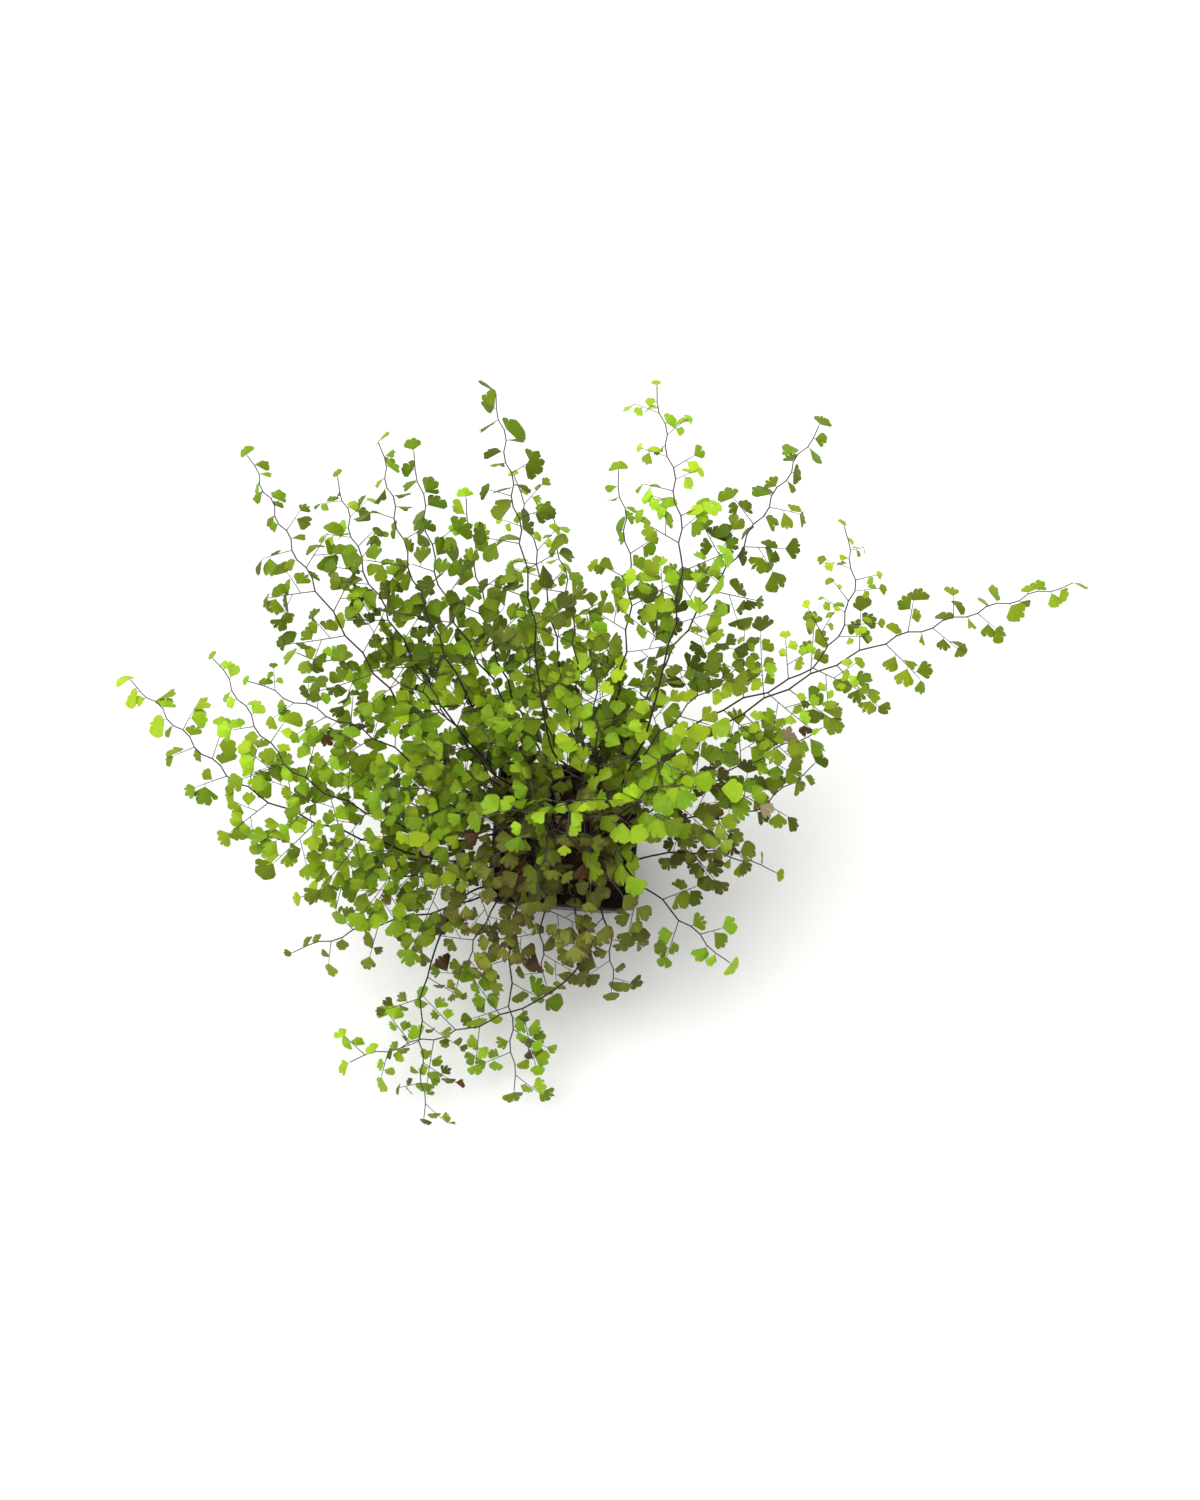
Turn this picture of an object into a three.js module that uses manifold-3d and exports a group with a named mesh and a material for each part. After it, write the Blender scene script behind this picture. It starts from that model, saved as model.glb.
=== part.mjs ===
// A maidenhair fern in a small square nursery pot. Millimetres, +Z up, -Y towards the viewer.
// The origin is the middle of the flat underside of the pot.
import * as THREE from "three";
import { mergeVertices } from "three/addons/utils/BufferGeometryUtils.js";
import Module from "manifold-3d";

const wasm = await Module();
wasm.setup();

// Pot: thin moulded plastic, square with rounded corners, widths across the flats.
const POT_HEIGHT = 80;
const POT_BASE = 69;
const POT_NECK = 85.6;
const POT_LIP = 90;
const LIP_WIDTH = 2.2;
const LIP_DROP = 9;
const POT_WALL = 1.2;
const CHAMFER = 1;
const BASE_CORNER = 5;
const LIP_CORNER = 7;
const CORNER_STEPS = 2;
const DRAIN_RADIUS = 4;
const DRAIN_OFFSET = 19;
const DRAIN_SIDES = 10;

// Potting mix: a hair off the pot, a lumpy top, and one plain hole for each stalk.
const GAP = 0.3;
const SOIL_TOP = 68;
const SOIL_LUMP = 1.1;
const SOIL_RINGS = [0.7, 0.35];
const HOLE_RADIUS = 2;
const HOLE_SIDES = 5;
const HOLE_DEPTH = 10;

// Stalks: slim rods, nearly square in section. Half widths at the soil and at the tip, how
// far they stand in the soil and bend above it, and the zigzag from rib to rib.
const STALK_HALF = [0.95, 0.55];
const STALK_FLATNESS = 0.9;
const STALK_FOOT = 8;
const STALK_CLEAR = 2.2;
const RISE_OUT = 0.28;
const RISE_UP = 0.55;
const BARE_STEPS = 3;
const ZIGZAG = 1.2;

// Side ribs: spacing along the stalk, the first one's place in it, angle to the stalk low
// down and near the tip and how much that varies, and droop.
const RIB_SPACING = 15;
const RIB_START = 0.3;
const RIB_ANGLE = [68, 56];
const RIB_ANGLE_RANGE = [-7, 7];
const RIB_HALF = 0.55;
const RIB_SAG = 0.0035;
const FIRST_LEAFLET = 8;
const LEAFLET_SPACING = 4.8;
const LEAFLET_ANGLE = 60;

// Leaflets on a rib grow fewer towards the tip, with this taper and spread.
const RIB_TAPER = 1.25;
const COUNT_RANGE = [0.8, 1.2];

// Leaflets: thin fans with a notch in the outer edge, angles from the leaflet's own axis.
const SIZE_RANGE = [0.8, 1.15];
const NOD_RANGE = [-2, 22];
const LEAF_HALF = 0.35;
const FAN_ANGLES = [-44, -22, 0, 22, 44];
const FAN_RADII = [0.84, 1, 0.86, 1, 0.84];
const FAN_CUP = 0.14;

// Fewer leaflets stand here than on the real plant. Of each run of so many, the first few
// stand: of the side ribs, of the single leaflets near the tip, and of the leaflets on a rib,
// where the one next to the end leaflet never does.
const RIB_RUN = { length: 4, standing: 2 };
const SINGLE_RUN = { length: 4, standing: 3 };
const LEAFLET_RUN = { length: 5, standing: 2 };

// Numbers that keep the random draws of a frond apart, and the end leaflet's place.
const DRAW_COUNT = 50;
const DRAW_ANGLE = 51;
const DRAW_NOD = 20;
const DRAW_SIZE = 40;
const DRAW_SOIL = 7;
const END_PLACE = 19;

// A side rib is tried at these tilts, in degrees, until it misses all that stands already by
// the clearance. The trial starts a little way out, clear of the rib's own stalk.
const TRIAL_TILTS = [0, 14, -14, 28, -28, 42, -42, 56, -56];
const TRIAL_START = 3;
const CLEARANCE = 0.3;

// Each frond: its route from the soil to the tip, the share of it that is bare stalk, the
// most leaflets on one side rib, the leaflet's radius, how far leaflets turn edge-on in
// degrees, and the age from 0, just unrolled, to 1, last year's.
const FRONDS = [
  // Long fronds to the left.
  [[[-29, -8], [-70, -28, 118], [-174, -8, 168], [-265, 62, 140]], 0.34, 7, 9.5, 40, 0.5],
  [[[-27, -3], [-72, -15, 124], [-147, 0, 192], [-208, 68, 178]], 0.36, 6, 8.5, 30, 0.4],
  [[[-33, -25], [-56, -50, 99], [-108, -68, 102], [-159, -86, 82]], 0.3, 4, 8.5, 45, 0.85],
  [[[-31, -17], [-60, -38, 108], [-104, -43, 128], [-152, -56, 112]], 0.4, 6, 9.5, 20, 0.4],
  // Tall fronds that lean away behind.
  [[[-20, 8], [-70, 26, 150], [-134, 84, 246], [-196, 181, 212]], 0.46, 6, 8, 25, 0.45],
  [[[-15, 18], [-58, 36, 160], [-110, 96, 246], [-140, 166, 226]], 0.45, 5, 8.5, 30, 0.1],
  [[[-8, 12], [-48, 40, 158], [-86, 98, 256], [-117, 183, 240]], 0.48, 5, 8.5, 60, 0.5],
  [[[-10, 27], [-36, 56, 170], [-72, 98, 232], [-97, 180, 238]], 0.4, 6, 10, 50, 0.55],
  [[[-2, 20], [-26, 48, 165], [-48, 88, 214], [-66, 158, 230]], 0.42, 5, 9, 60, 0.5],
  [[[4, 29], [-10, 34, 186], [-24, 96, 262], [-54, 217, 242]], 0.52, 4, 11, 65, 0.55],
  [[[11, 20], [2, 46, 165], [-16, 104, 226], [-40, 172, 232]], 0.5, 4, 8, 30, 0.05],
  [[[9, 9], [8, 40, 160], [-2, 96, 224], [-18, 158, 214]], 0.42, 5, 8.5, 45, 0.45],
  [[[17, 26], [26, 60, 178], [30, 106, 236], [18, 182, 228]], 0.45, 5, 8.5, 60, 0.5],
  [[[23, 16], [46, 46, 184], [56, 114, 270], [36, 222, 256]], 0.52, 5, 9, 35, 0.2],
  [[[26, 23], [46, 72, 180], [84, 126, 245], [130, 221, 222]], 0.42, 6, 9.5, 30, 0.5],
  // Long fronds to the right.
  [[[31, 12], [72, 54, 168], [132, 78, 214], [154, 122, 216], [150, 170, 198]], 0.5, 5, 8, 25, 0.1],
  [[[33, 3], [62, 40, 148], [150, 88, 198], [218, 122, 192], [290, 158, 166]], 0.38, 6, 9, 45, 0.5],
  [[[24, -4], [62, 12, 140], [98, 30, 162], [148, 62, 150]], 0.36, 6, 10, 20, 0.6],
  [[[33, -8], [66, 6, 118], [110, 12, 136], [147, 46, 126]], 0.34, 6, 9, 25, 0.7],
  [[[31, -18], [56, -14, 106], [92, -10, 114], [130, -16, 95]], 0.4, 3, 8, 65, 0.4],
  [[[23, -25], [50, -32, 104], [77, -53, 104], [106, -72, 88]], 0.34, 5, 9, 20, 0.3],
  // Fronds that hang over the front of the pot.
  [
    [[8, -27], [11, -52, 106], [14, -84, 92], [-33, -114, 62],
      [-103, -138, 40], [-124, -146, 34]],
    0.5, 5, 8.5, 40, 0.3,
  ],
  [[[-9, -25], [-24, -46, 102], [-26, -92, 74], [-20, -155, 30]], 0.45, 5, 9, 35, 0.35],
  [[[-25, -27], [-60, -52, 106], [-78, -104, 80], [-75, -176, 26]], 0.5, 4, 7, 60, 0.8],
  [[[-17, -25], [-38, -54, 110], [-48, -74, 102], [-58, -98, 76]], 0.4, 5, 11, 20, 0.95],
  [[[-3, -28], [-8, -52, 108], [-8, -72, 96], [-4, -92, 70]], 0.4, 5, 11, 20, 0.95],
  [[[17, -28], [28, -50, 102], [34, -70, 90], [36, -92, 64]], 0.4, 4, 12, 15, 1],
  // The crown: shorter fronds that close the top over the pot.
  [[[-21, 0], [-68, 10, 154], [-112, 26, 198], [-184, 54, 186]], 0.4, 6, 8.5, 20, 0.05],
  [[[-14, 4], [-48, 22, 172], [-88, 52, 208], [-158, 72, 190]], 0.42, 5, 8.5, 25, 0.6],
  [[[-27, 16], [-42, 16, 148], [-76, 50, 200], [-104, 84, 208]], 0.4, 7, 9.5, 15, 0.15],
  [[[2, 12], [-6, 30, 156], [-18, 58, 196], [-32, 92, 196]], 0.4, 7, 9.5, 15, 0.3],
  [[[14, 2], [18, 24, 160], [14, 62, 200], [6, 104, 200]], 0.4, 6, 9.5, 15, 0.25],
  [[[25, 5], [34, 22, 150], [60, 50, 190], [92, 82, 186]], 0.4, 7, 10, 15, 0.35],
  [[[16, -10], [32, -2, 150], [56, 14, 176], [88, 16, 170]], 0.36, 6, 12, 10, 0.2],
  [[[-20, -14], [-46, -10, 140], [-80, 2, 168], [-120, 6, 164]], 0.36, 7, 9, 15, 0.3],
  [[[-6, 3], [-9, 4, 138], [-18, -4, 170], [-44, -12, 172]], 0.32, 7, 9.5, 10, 0.35],
  [[[7, -3], [11, -4, 140], [24, -2, 168], [52, 8, 166]], 0.32, 7, 10, 10, 0.4],
  [[[2, -12], [6, -16, 120], [18, -28, 140], [38, -42, 128]], 0.32, 6, 9.5, 15, 0.45],
  [[[-11, -8], [-16, -14, 128], [-32, -24, 146], [-60, -38, 136]], 0.32, 7, 10, 15, 0.6],
  [[[-2, -4], [-2, -6, 132], [-8, -22, 158], [-10, -52, 146]], 0.32, 7, 9.5, 15, 0.35],
  [[[0, 4], [3, 4, 160], [4, -6, 190], [4, -26, 188]], 0.36, 6, 9.5, 15, 0.2],
].map(([route, bare, most, leaf, turn, age]) => ({ route, bare, most, leaf, turn, age }));

// Colours.
const POT_BLACK = 0x17181a;
const POT_ROUGHNESS = 0.45;
const SOIL_BROWN = 0x3a2a1e;
const SOIL_ROUGHNESS = 0.95;
const LEAF_ROUGHNESS = 0.6;
const LEAF_YOUNG = new THREE.Color(0x9ac83a);
const LEAF_FULL = new THREE.Color(0x5f8f1f);
const LEAF_OLD = new THREE.Color(0x5c5a26);

const UP = new THREE.Vector3(0, 0, 1);
const { lerp, degToRad } = THREE.MathUtils;

// A number from 0 to 1 that is always the same for the same three places.
function draw(i, j, k) {
  const wave = Math.sin(i * 12.9898 + j * 78.233 + k * 37.719) * 43758.5453;
  return wave - Math.floor(wave);
}

function stands(place, run) {
  return place % run.length < run.standing;
}

function mixed(terms) {
  const sum = new THREE.Vector3();
  for (const [vector, amount] of terms) sum.addScaledVector(vector, amount);
  return sum;
}

function geometryOf(positions, faces) {
  const geometry = new THREE.BufferGeometry();
  geometry.setAttribute("position", new THREE.Float32BufferAttribute(positions, 3));
  geometry.setIndex(faces);
  return geometry;
}

function solidOf(geometry) {
  const bare = new THREE.BufferGeometry();
  bare.setAttribute("position", geometry.getAttribute("position"));
  bare.setIndex(geometry.getIndex());
  const merged = mergeVertices(bare);
  const vertProperties = merged.getAttribute("position").array;
  const triVerts = Uint32Array.from(merged.getIndex().array);
  return new wasm.Manifold(new wasm.Mesh({ numProp: 3, vertProperties, triVerts }));
}

function geometryOfSolid(solid) {
  const mesh = solid.getMesh();
  return geometryOf(Array.from(mesh.vertProperties), Array.from(mesh.triVerts));
}

// A closed body through a stack of rings with equally many points, and a flat end at each end.
function loft(rings) {
  const count = rings[0].length;
  const middles = [rings[0], rings[rings.length - 1]].map((ring) =>
    mixed(ring.map((point) => [point, 1 / count])),
  );
  const points = [...rings.flat(), ...middles];
  const faces = [];
  const last = (rings.length - 1) * count;
  for (let i = 0; i < count; i++) {
    const next = (i + 1) % count;
    for (let start = 0; start < last; start += count) {
      const [a, b] = [start + i, start + next];
      faces.push(a, b, b + count, a, b + count, a + count);
    }
    faces.push(points.length - 2, next, i);
    faces.push(points.length - 1, last + i, last + next);
  }
  return geometryOf(points.flatMap((point) => point.toArray()), faces);
}

// A square of the given half width with rounded corners, as a ring of points at one height.
function roundedSquare(half, corner, height) {
  const points = [];
  for (let quarter = 0; quarter < 4; quarter++) {
    for (let step = 0; step <= CORNER_STEPS; step++) {
      const turn = ((quarter + step / CORNER_STEPS) * Math.PI) / 2;
      const middle = ((quarter + 0.5) * Math.PI) / 2;
      const inset = (half - corner) * Math.SQRT2;
      points.push(
        new THREE.Vector3(
          inset * Math.cos(middle) + corner * Math.cos(turn),
          inset * Math.sin(middle) + corner * Math.sin(turn),
          height,
        ),
      );
    }
  }
  return points;
}

function uprightRod(x, y, radius, bottom, top, sides) {
  const rod = new THREE.CylinderGeometry(radius, radius, top - bottom, sides);
  rod.rotateX(Math.PI / 2);
  rod.translate(x, y, (bottom + top) / 2);
  return solidOf(rod);
}

const NECK_HEIGHT = POT_HEIGHT - LIP_DROP;
const innerHalf = (height) =>
  lerp(POT_BASE, POT_NECK, height / NECK_HEIGHT) / 2 - POT_WALL;

function potSolid() {
  const lip = POT_LIP / 2;
  const body = solidOf(
    loft([
      roundedSquare(POT_BASE / 2 - CHAMFER, BASE_CORNER - CHAMFER, 0),
      roundedSquare(POT_BASE / 2, BASE_CORNER, CHAMFER),
      roundedSquare(POT_NECK / 2, LIP_CORNER - LIP_WIDTH, NECK_HEIGHT),
      roundedSquare(lip, LIP_CORNER, NECK_HEIGHT),
      roundedSquare(lip, LIP_CORNER, POT_HEIGHT),
      roundedSquare(lip - LIP_WIDTH, LIP_CORNER - LIP_WIDTH, POT_HEIGHT),
      roundedSquare(innerHalf(NECK_HEIGHT), LIP_CORNER - LIP_WIDTH, NECK_HEIGHT),
      roundedSquare(innerHalf(POT_WALL), BASE_CORNER - POT_WALL, POT_WALL),
    ]),
  );
  return [-1, 1].flatMap((x) => [-1, 1].map((y) => [x, y])).reduce((pot, [x, y]) => {
    const hole = [x * DRAIN_OFFSET, y * DRAIN_OFFSET, DRAIN_RADIUS];
    return pot.subtract(uprightRod(...hole, -POT_WALL, 2 * POT_WALL, DRAIN_SIDES));
  }, body);
}

function soilSolid() {
  const floor = POT_WALL + GAP;
  const half = (height) => innerHalf(height) - GAP;
  const edge = roundedSquare(half(SOIL_TOP), LIP_CORNER - LIP_WIDTH - GAP, SOIL_TOP);
  const rings = SOIL_RINGS.map((share, r) =>
    edge.map((point, i) => {
      const height = SOIL_TOP + SOIL_LUMP * (2 * draw(r, i, DRAW_SOIL) - 1);
      return new THREE.Vector3(point.x * share, point.y * share, height);
    }),
  );
  const bottom = roundedSquare(half(floor), BASE_CORNER - POT_WALL - GAP, floor);
  return FRONDS.reduce((soil, frond) => {
    const [x, y] = frond.route[0];
    const [bottomOfHole, topOfHole] = [SOIL_TOP - HOLE_DEPTH, SOIL_TOP + 2 * SOIL_LUMP];
    return soil.subtract(uprightRod(x, y, HOLE_RADIUS, bottomOfHole, topOfHole, HOLE_SIDES));
  }, solidOf(loft([bottom, edge, ...rings])));
}

// A thin sheet of triangles with shared corners, which is then given its thickness: each
// corner moves both ways along its normal, and each open edge gets a wall.
class Sheet {
  corners = [];
  faces = [];

  corner(point, normal, half) {
    return this.corners.push({ point, normal, half }) - 1;
  }

  // Adds the strip between one pair of corners, left and right, and the next pair.
  strip([left, right], [nextLeft, nextRight]) {
    this.faces.push([right, nextRight, nextLeft], [right, nextLeft, left]);
  }

  thickened() {
    const points = [1, -1].flatMap((side) =>
      this.corners.flatMap(({ point, normal, half }) =>
        point.clone().addScaledVector(normal, side * half).toArray(),
      ),
    );
    const below = this.corners.length;
    const edges = this.faces.flatMap(([a, b, c]) => [[a, b], [b, c], [c, a]]);
    const taken = new Set(edges.map(([a, b]) => a + "/" + b));
    const open = edges.filter(([a, b]) => !taken.has(b + "/" + a));
    const lids = this.faces.flatMap(([a, b, c]) => [a, b, c, c + below, b + below, a + below]);
    const walls = open.flatMap(([a, b]) => [a + below, b + below, b, a + below, b, a]);
    return geometryOf(points, [...lids, ...walls]);
  }
}

// Where a stalk runs: positions and facing directions at a share of its length.
function stalkOf(frond) {
  const [[rootX, rootY], first, ...rest] = frond.route;
  const root = new THREE.Vector3(rootX, rootY, SOIL_TOP + STALK_CLEAR);
  const target = new THREE.Vector3(...first);
  const rise = new THREE.Vector3(
    lerp(root.x, target.x, RISE_OUT),
    lerp(root.y, target.y, RISE_OUT),
    lerp(root.z, target.z, RISE_UP),
  );
  const later = rest.map((point) => new THREE.Vector3(...point));
  const curve = new THREE.CatmullRomCurve3([root, rise, target, ...later], false, "catmullrom");
  const tip = later[later.length - 1];
  const sideways = new THREE.Vector3(-tip.y, tip.x, 0).normalize();
  const at = (share) => {
    const along = curve.getTangentAt(share);
    const left = mixed([[sideways, 1], [along, -sideways.dot(along)]]).normalize();
    const normal = new THREE.Vector3().crossVectors(along, left);
    return { point: curve.getPointAt(share), along, normal, left };
  };
  return { at, length: curve.getLength() };
}

// The side ribs of a frond: where each leaves the stalk and how many leaflets it carries.
function ribsOf(frond, stalk, f) {
  const count = Math.round(((1 - frond.bare) * stalk.length) / RIB_SPACING);
  const ribs = [];
  for (let k = 0; k < count; k++) {
    const spread = lerp(...COUNT_RANGE, draw(f, k, DRAW_COUNT));
    const wanted = frond.most * (1 - (RIB_TAPER * k) / count) * spread;
    const turned = lerp(...RIB_ANGLE_RANGE, draw(f, k, DRAW_ANGLE));
    ribs.push({
      place: k,
      share: frond.bare + ((1 - frond.bare) * (k + RIB_START)) / count,
      side: (k + f) % 2 ? 1 : -1,
      angle: degToRad(lerp(...RIB_ANGLE, k / count) + turned),
      leaflets: Math.max(1, Math.round(wanted)),
    });
  }
  return ribs.filter((rib) => stands(rib.place, rib.leaflets > 1 ? RIB_RUN : SINGLE_RUN));
}

// Points of the stalk's sheet on its left and right at a share of its length.
function stalkPair(sheet, stalk, share, bend, spare) {
  const { point, normal, left } = stalk.at(share);
  const half = lerp(...STALK_HALF, share) + spare;
  const middle = point.addScaledVector(left, bend);
  return [1, -1].map((side) =>
    sheet.corner(mixed([[middle, 1], [left, side * half]]), normal, half * STALK_FLATNESS),
  );
}

// A fan-shaped leaflet that grows from a pair of corners along an axis.
function addLeaflet(sheet, [left, right], start, axis, normal, radius, half) {
  const across = new THREE.Vector3().crossVectors(normal, axis);
  const rim = FAN_ANGLES.map((degrees, i) => {
    const angle = degToRad(degrees);
    const reach = radius * FAN_RADII[i];
    const point = mixed([
      [start, 1],
      [axis, reach * Math.cos(angle)],
      [across, reach * Math.sin(angle)],
      [normal, -FAN_CUP * reach * Math.abs(Math.sin(angle))],
    ]);
    return sheet.corner(point, normal, half);
  });
  sheet.faces.push([right, rim[0], rim[1]], [right, rim[1], rim[2]], [right, rim[2], left]);
  sheet.faces.push([left, rim[2], rim[3]], [left, rim[3], rim[4]]);
}

// Turns a leaflet about its own axis and lets it nod, by amounts drawn for its place.
function leafletPose(frond, f, k, j, axis, normal) {
  const turn = degToRad(lerp(-frond.turn, frond.turn, draw(f, k, j)));
  const nod = degToRad(lerp(...NOD_RANGE, draw(f, k, j + DRAW_NOD)));
  const turned = normal.clone().applyAxisAngle(axis, turn);
  return {
    axis: mixed([[axis, Math.cos(nod)], [turned, -Math.sin(nod)]]),
    normal: mixed([[turned, Math.cos(nod)], [axis, Math.sin(nod)]]),
    radius: frond.leaf * lerp(...SIZE_RANGE, draw(f, k, j + DRAW_SIZE)),
  };
}

// A side rib with its leaflets, from a pair of corners at its foot.
function addRib(sheet, foot, start, frond, f, rib, frame, spare) {
  const { along, normal } = frame;
  const across = new THREE.Vector3().crossVectors(normal, along);
  const half = LEAF_HALF + spare;
  const middleAt = (x) => mixed([[start, 1], [along, x], [normal, -RIB_SAG * x * x]]);
  const pairAt = (x) =>
    [1, -1].map((side) => {
      const point = middleAt(x).addScaledVector(across, side * (RIB_HALF + spare));
      return sheet.corner(point, normal, half);
    });
  let pair = foot;
  for (let j = 0; j < rib.leaflets - 2; j++) {
    if (!stands(j + rib.place, LEAFLET_RUN)) continue;
    const x = FIRST_LEAFLET + LEAFLET_SPACING * j;
    const before = pairAt(x - RIB_HALF);
    const after = pairAt(x + RIB_HALF);
    sheet.strip(pair, before);
    sheet.strip(before, after);
    const side = j % 2 ? 1 : -1;
    const base = side > 0 ? [before[0], after[0]] : [after[1], before[1]];
    const angle = degToRad(LEAFLET_ANGLE);
    const outward = mixed([[along, Math.cos(angle)], [across, side * Math.sin(angle)]]);
    const pose = leafletPose(frond, f, rib.place, j, outward, normal);
    addLeaflet(sheet, base, middleAt(x), pose.axis, pose.normal, pose.radius + spare, half);
    pair = after;
  }
  let tip = start;
  if (rib.leaflets > 1) {
    const x = FIRST_LEAFLET + LEAFLET_SPACING * (rib.leaflets - 1);
    const end = pairAt(x);
    sheet.strip(pair, end);
    pair = end;
    tip = middleAt(x);
  }
  const pose = leafletPose(frond, f, rib.place, END_PLACE, along, normal);
  addLeaflet(sheet, pair, tip, pose.axis, pose.normal, pose.radius + spare, half);
}

// The direction and the facing of a side rib, tilted about the stalk.
function ribFrame(stalk, rib, tilt) {
  const { along, normal, left } = stalk.at(rib.share);
  const outward = mixed([[left, rib.side * Math.cos(tilt)], [normal, Math.sin(tilt)]]);
  const direction = mixed([[along, Math.cos(rib.angle)], [outward, Math.sin(rib.angle)]]);
  const facing = mixed([[normal, 1], [direction, -normal.dot(direction)]]).normalize();
  return { along: direction, normal: facing };
}

function boxesMeet(a, b) {
  return [0, 1, 2].every((i) => a.min[i] < b.max[i] && b.min[i] < a.max[i]);
}

class Placed {
  items = [];

  add(solid) {
    this.items.push({ solid, box: solid.boundingBox() });
  }

  hits(solid) {
    const box = solid.boundingBox();
    return this.items.some(
      (item) => boxesMeet(item.box, box) && !item.solid.intersect(solid).isEmpty(),
    );
  }
}

// The frames of the side ribs that find room. The others keep none.
function standingFrames(frond, f, stalk, ribs, placed) {
  const frames = new Map();
  for (const rib of ribs) {
    for (const degrees of TRIAL_TILTS) {
      const frame = ribFrame(stalk, rib, degToRad(degrees));
      const trial = new Sheet();
      const { point, left } = stalk.at(rib.share);
      const start = mixed([[point, 1], [left, rib.side * ZIGZAG], [frame.along, TRIAL_START]]);
      const across = new THREE.Vector3().crossVectors(frame.normal, frame.along);
      const foot = [1, -1].map((side) =>
        trial.corner(mixed([[start, 1], [across, side]]), frame.normal, LEAF_HALF),
      );
      start.addScaledVector(frame.along, -TRIAL_START);
      addRib(trial, foot, start, frond, f, rib, frame, CLEARANCE);
      const solid = solidOf(trial.thickened());
      if (placed.hits(solid)) continue;
      placed.add(solid);
      frames.set(rib, frame);
      break;
    }
  }
  return frames;
}

// The sheet of a frond: its stalk from foot to tip, with the side ribs that have a frame.
function frondSheet(frond, f, stalk, ribs, frames, spare = 0) {
  const sheet = new Sheet();
  let pair = stalkPair(sheet, stalk, 0, 0, spare);
  const footPair = pair.map((index) => {
    const { point, normal, half } = sheet.corners[index];
    return sheet.corner(mixed([[point, 1], [UP, -STALK_FOOT - STALK_CLEAR]]), normal, half);
  });
  sheet.strip(footPair, pair);
  const advance = (share, bend) => {
    const next = stalkPair(sheet, stalk, share, bend, spare);
    sheet.strip(pair, next);
    pair = next;
  };
  for (let step = 1; step < BARE_STEPS; step++) advance((frond.bare * step) / BARE_STEPS, 0);
  for (const rib of ribs) {
    const reach = lerp(...STALK_HALF, rib.share);
    const bend = rib.side * ZIGZAG;
    advance(rib.share - reach / stalk.length, bend);
    const before = pair;
    advance(rib.share + reach / stalk.length, bend);
    if (!frames.has(rib)) continue;
    const foot = rib.side > 0 ? [before[0], pair[0]] : [pair[1], before[1]];
    const { point, left } = stalk.at(rib.share);
    const start = mixed([[point, 1], [left, bend]]);
    addRib(sheet, foot, start, frond, f, rib, frames.get(rib), 0);
  }
  advance(1, 0);
  const { point, along, normal } = stalk.at(1);
  addLeaflet(sheet, pair, point, along, normal, frond.leaf + spare, LEAF_HALF + spare);
  return sheet.thickened();
}

function leafColour(age) {
  const colour = LEAF_YOUNG.clone();
  return age < 0.5
    ? colour.lerp(LEAF_FULL, 2 * age)
    : colour.copy(LEAF_FULL).lerp(LEAF_OLD, 2 * age - 1);
}

function namedMesh(name, geometry, color, roughness) {
  const material = new THREE.MeshStandardMaterial({ color, roughness, metalness: 0 });
  const mesh = new THREE.Mesh(geometry, material);
  mesh.name = name;
  return mesh;
}

const pot = potSolid();
const fern = new THREE.Group();
fern.add(namedMesh("pot", geometryOfSolid(pot), POT_BLACK, POT_ROUGHNESS));
fern.add(namedMesh("soil", geometryOfSolid(soilSolid()), SOIL_BROWN, SOIL_ROUGHNESS));

const stalks = FRONDS.map(stalkOf);
const ribs = FRONDS.map((frond, f) => ribsOf(frond, stalks[f], f));
const placed = new Placed();
placed.add(pot);
FRONDS.forEach((frond, f) => {
  placed.add(solidOf(frondSheet(frond, f, stalks[f], ribs[f], new Map(), CLEARANCE)));
});
FRONDS.forEach((frond, f) => {
  const frames = standingFrames(frond, f, stalks[f], ribs[f], placed);
  const geometry = frondSheet(frond, f, stalks[f], ribs[f], frames);
  const name = "frond_" + String(f + 1).padStart(2, "0");
  fern.add(namedMesh(name, geometry, leafColour(frond.age), LEAF_ROUGHNESS));
});

export default fern;
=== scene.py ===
# %% [markdown]
# # A potted maidenhair fern
#
# The real plant is a small square nursery pot, black and thin-walled, filled with peat, and a
# spray of wiry black stalks. Each stalk runs on as the rib of a frond, sends out thinner side
# ribs left and right in turn, and carries fan-shaped leaflets on stalks as thin as hair.
#
# A fern like this could be scattered with particles or instances. Here every frond is worked
# out as arrays instead, because a frond has to stay one piece that stands where the packed
# model's frond stands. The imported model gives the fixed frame: its nodes, its box, its record.

# %% The fixed frame
import math

import bmesh
import bpy
import numpy as np
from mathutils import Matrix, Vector


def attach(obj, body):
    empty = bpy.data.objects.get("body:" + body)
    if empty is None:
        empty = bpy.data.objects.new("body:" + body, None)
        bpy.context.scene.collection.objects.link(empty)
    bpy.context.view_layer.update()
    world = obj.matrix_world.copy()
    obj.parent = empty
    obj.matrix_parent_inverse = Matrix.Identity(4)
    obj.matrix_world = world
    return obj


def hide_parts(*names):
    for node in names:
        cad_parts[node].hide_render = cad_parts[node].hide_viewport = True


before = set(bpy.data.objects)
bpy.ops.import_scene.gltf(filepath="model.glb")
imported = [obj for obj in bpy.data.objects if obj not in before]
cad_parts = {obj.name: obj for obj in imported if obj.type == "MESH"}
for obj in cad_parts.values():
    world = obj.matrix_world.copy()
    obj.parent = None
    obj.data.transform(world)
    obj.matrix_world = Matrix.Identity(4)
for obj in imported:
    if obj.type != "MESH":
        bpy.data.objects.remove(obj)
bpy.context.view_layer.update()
ROOT = "root"
MM = 0.001

# %% [markdown]
# ## Small helpers
#
# A plant needs chance, but the same plant has to grow every time. So each random number is a
# fixed function of where it is used: the fraction part of a large, fast-turning sine. Whole
# arrays of places go in and whole arrays of numbers come out. The three numbers that it is
# given only keep one draw apart from all others.

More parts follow.
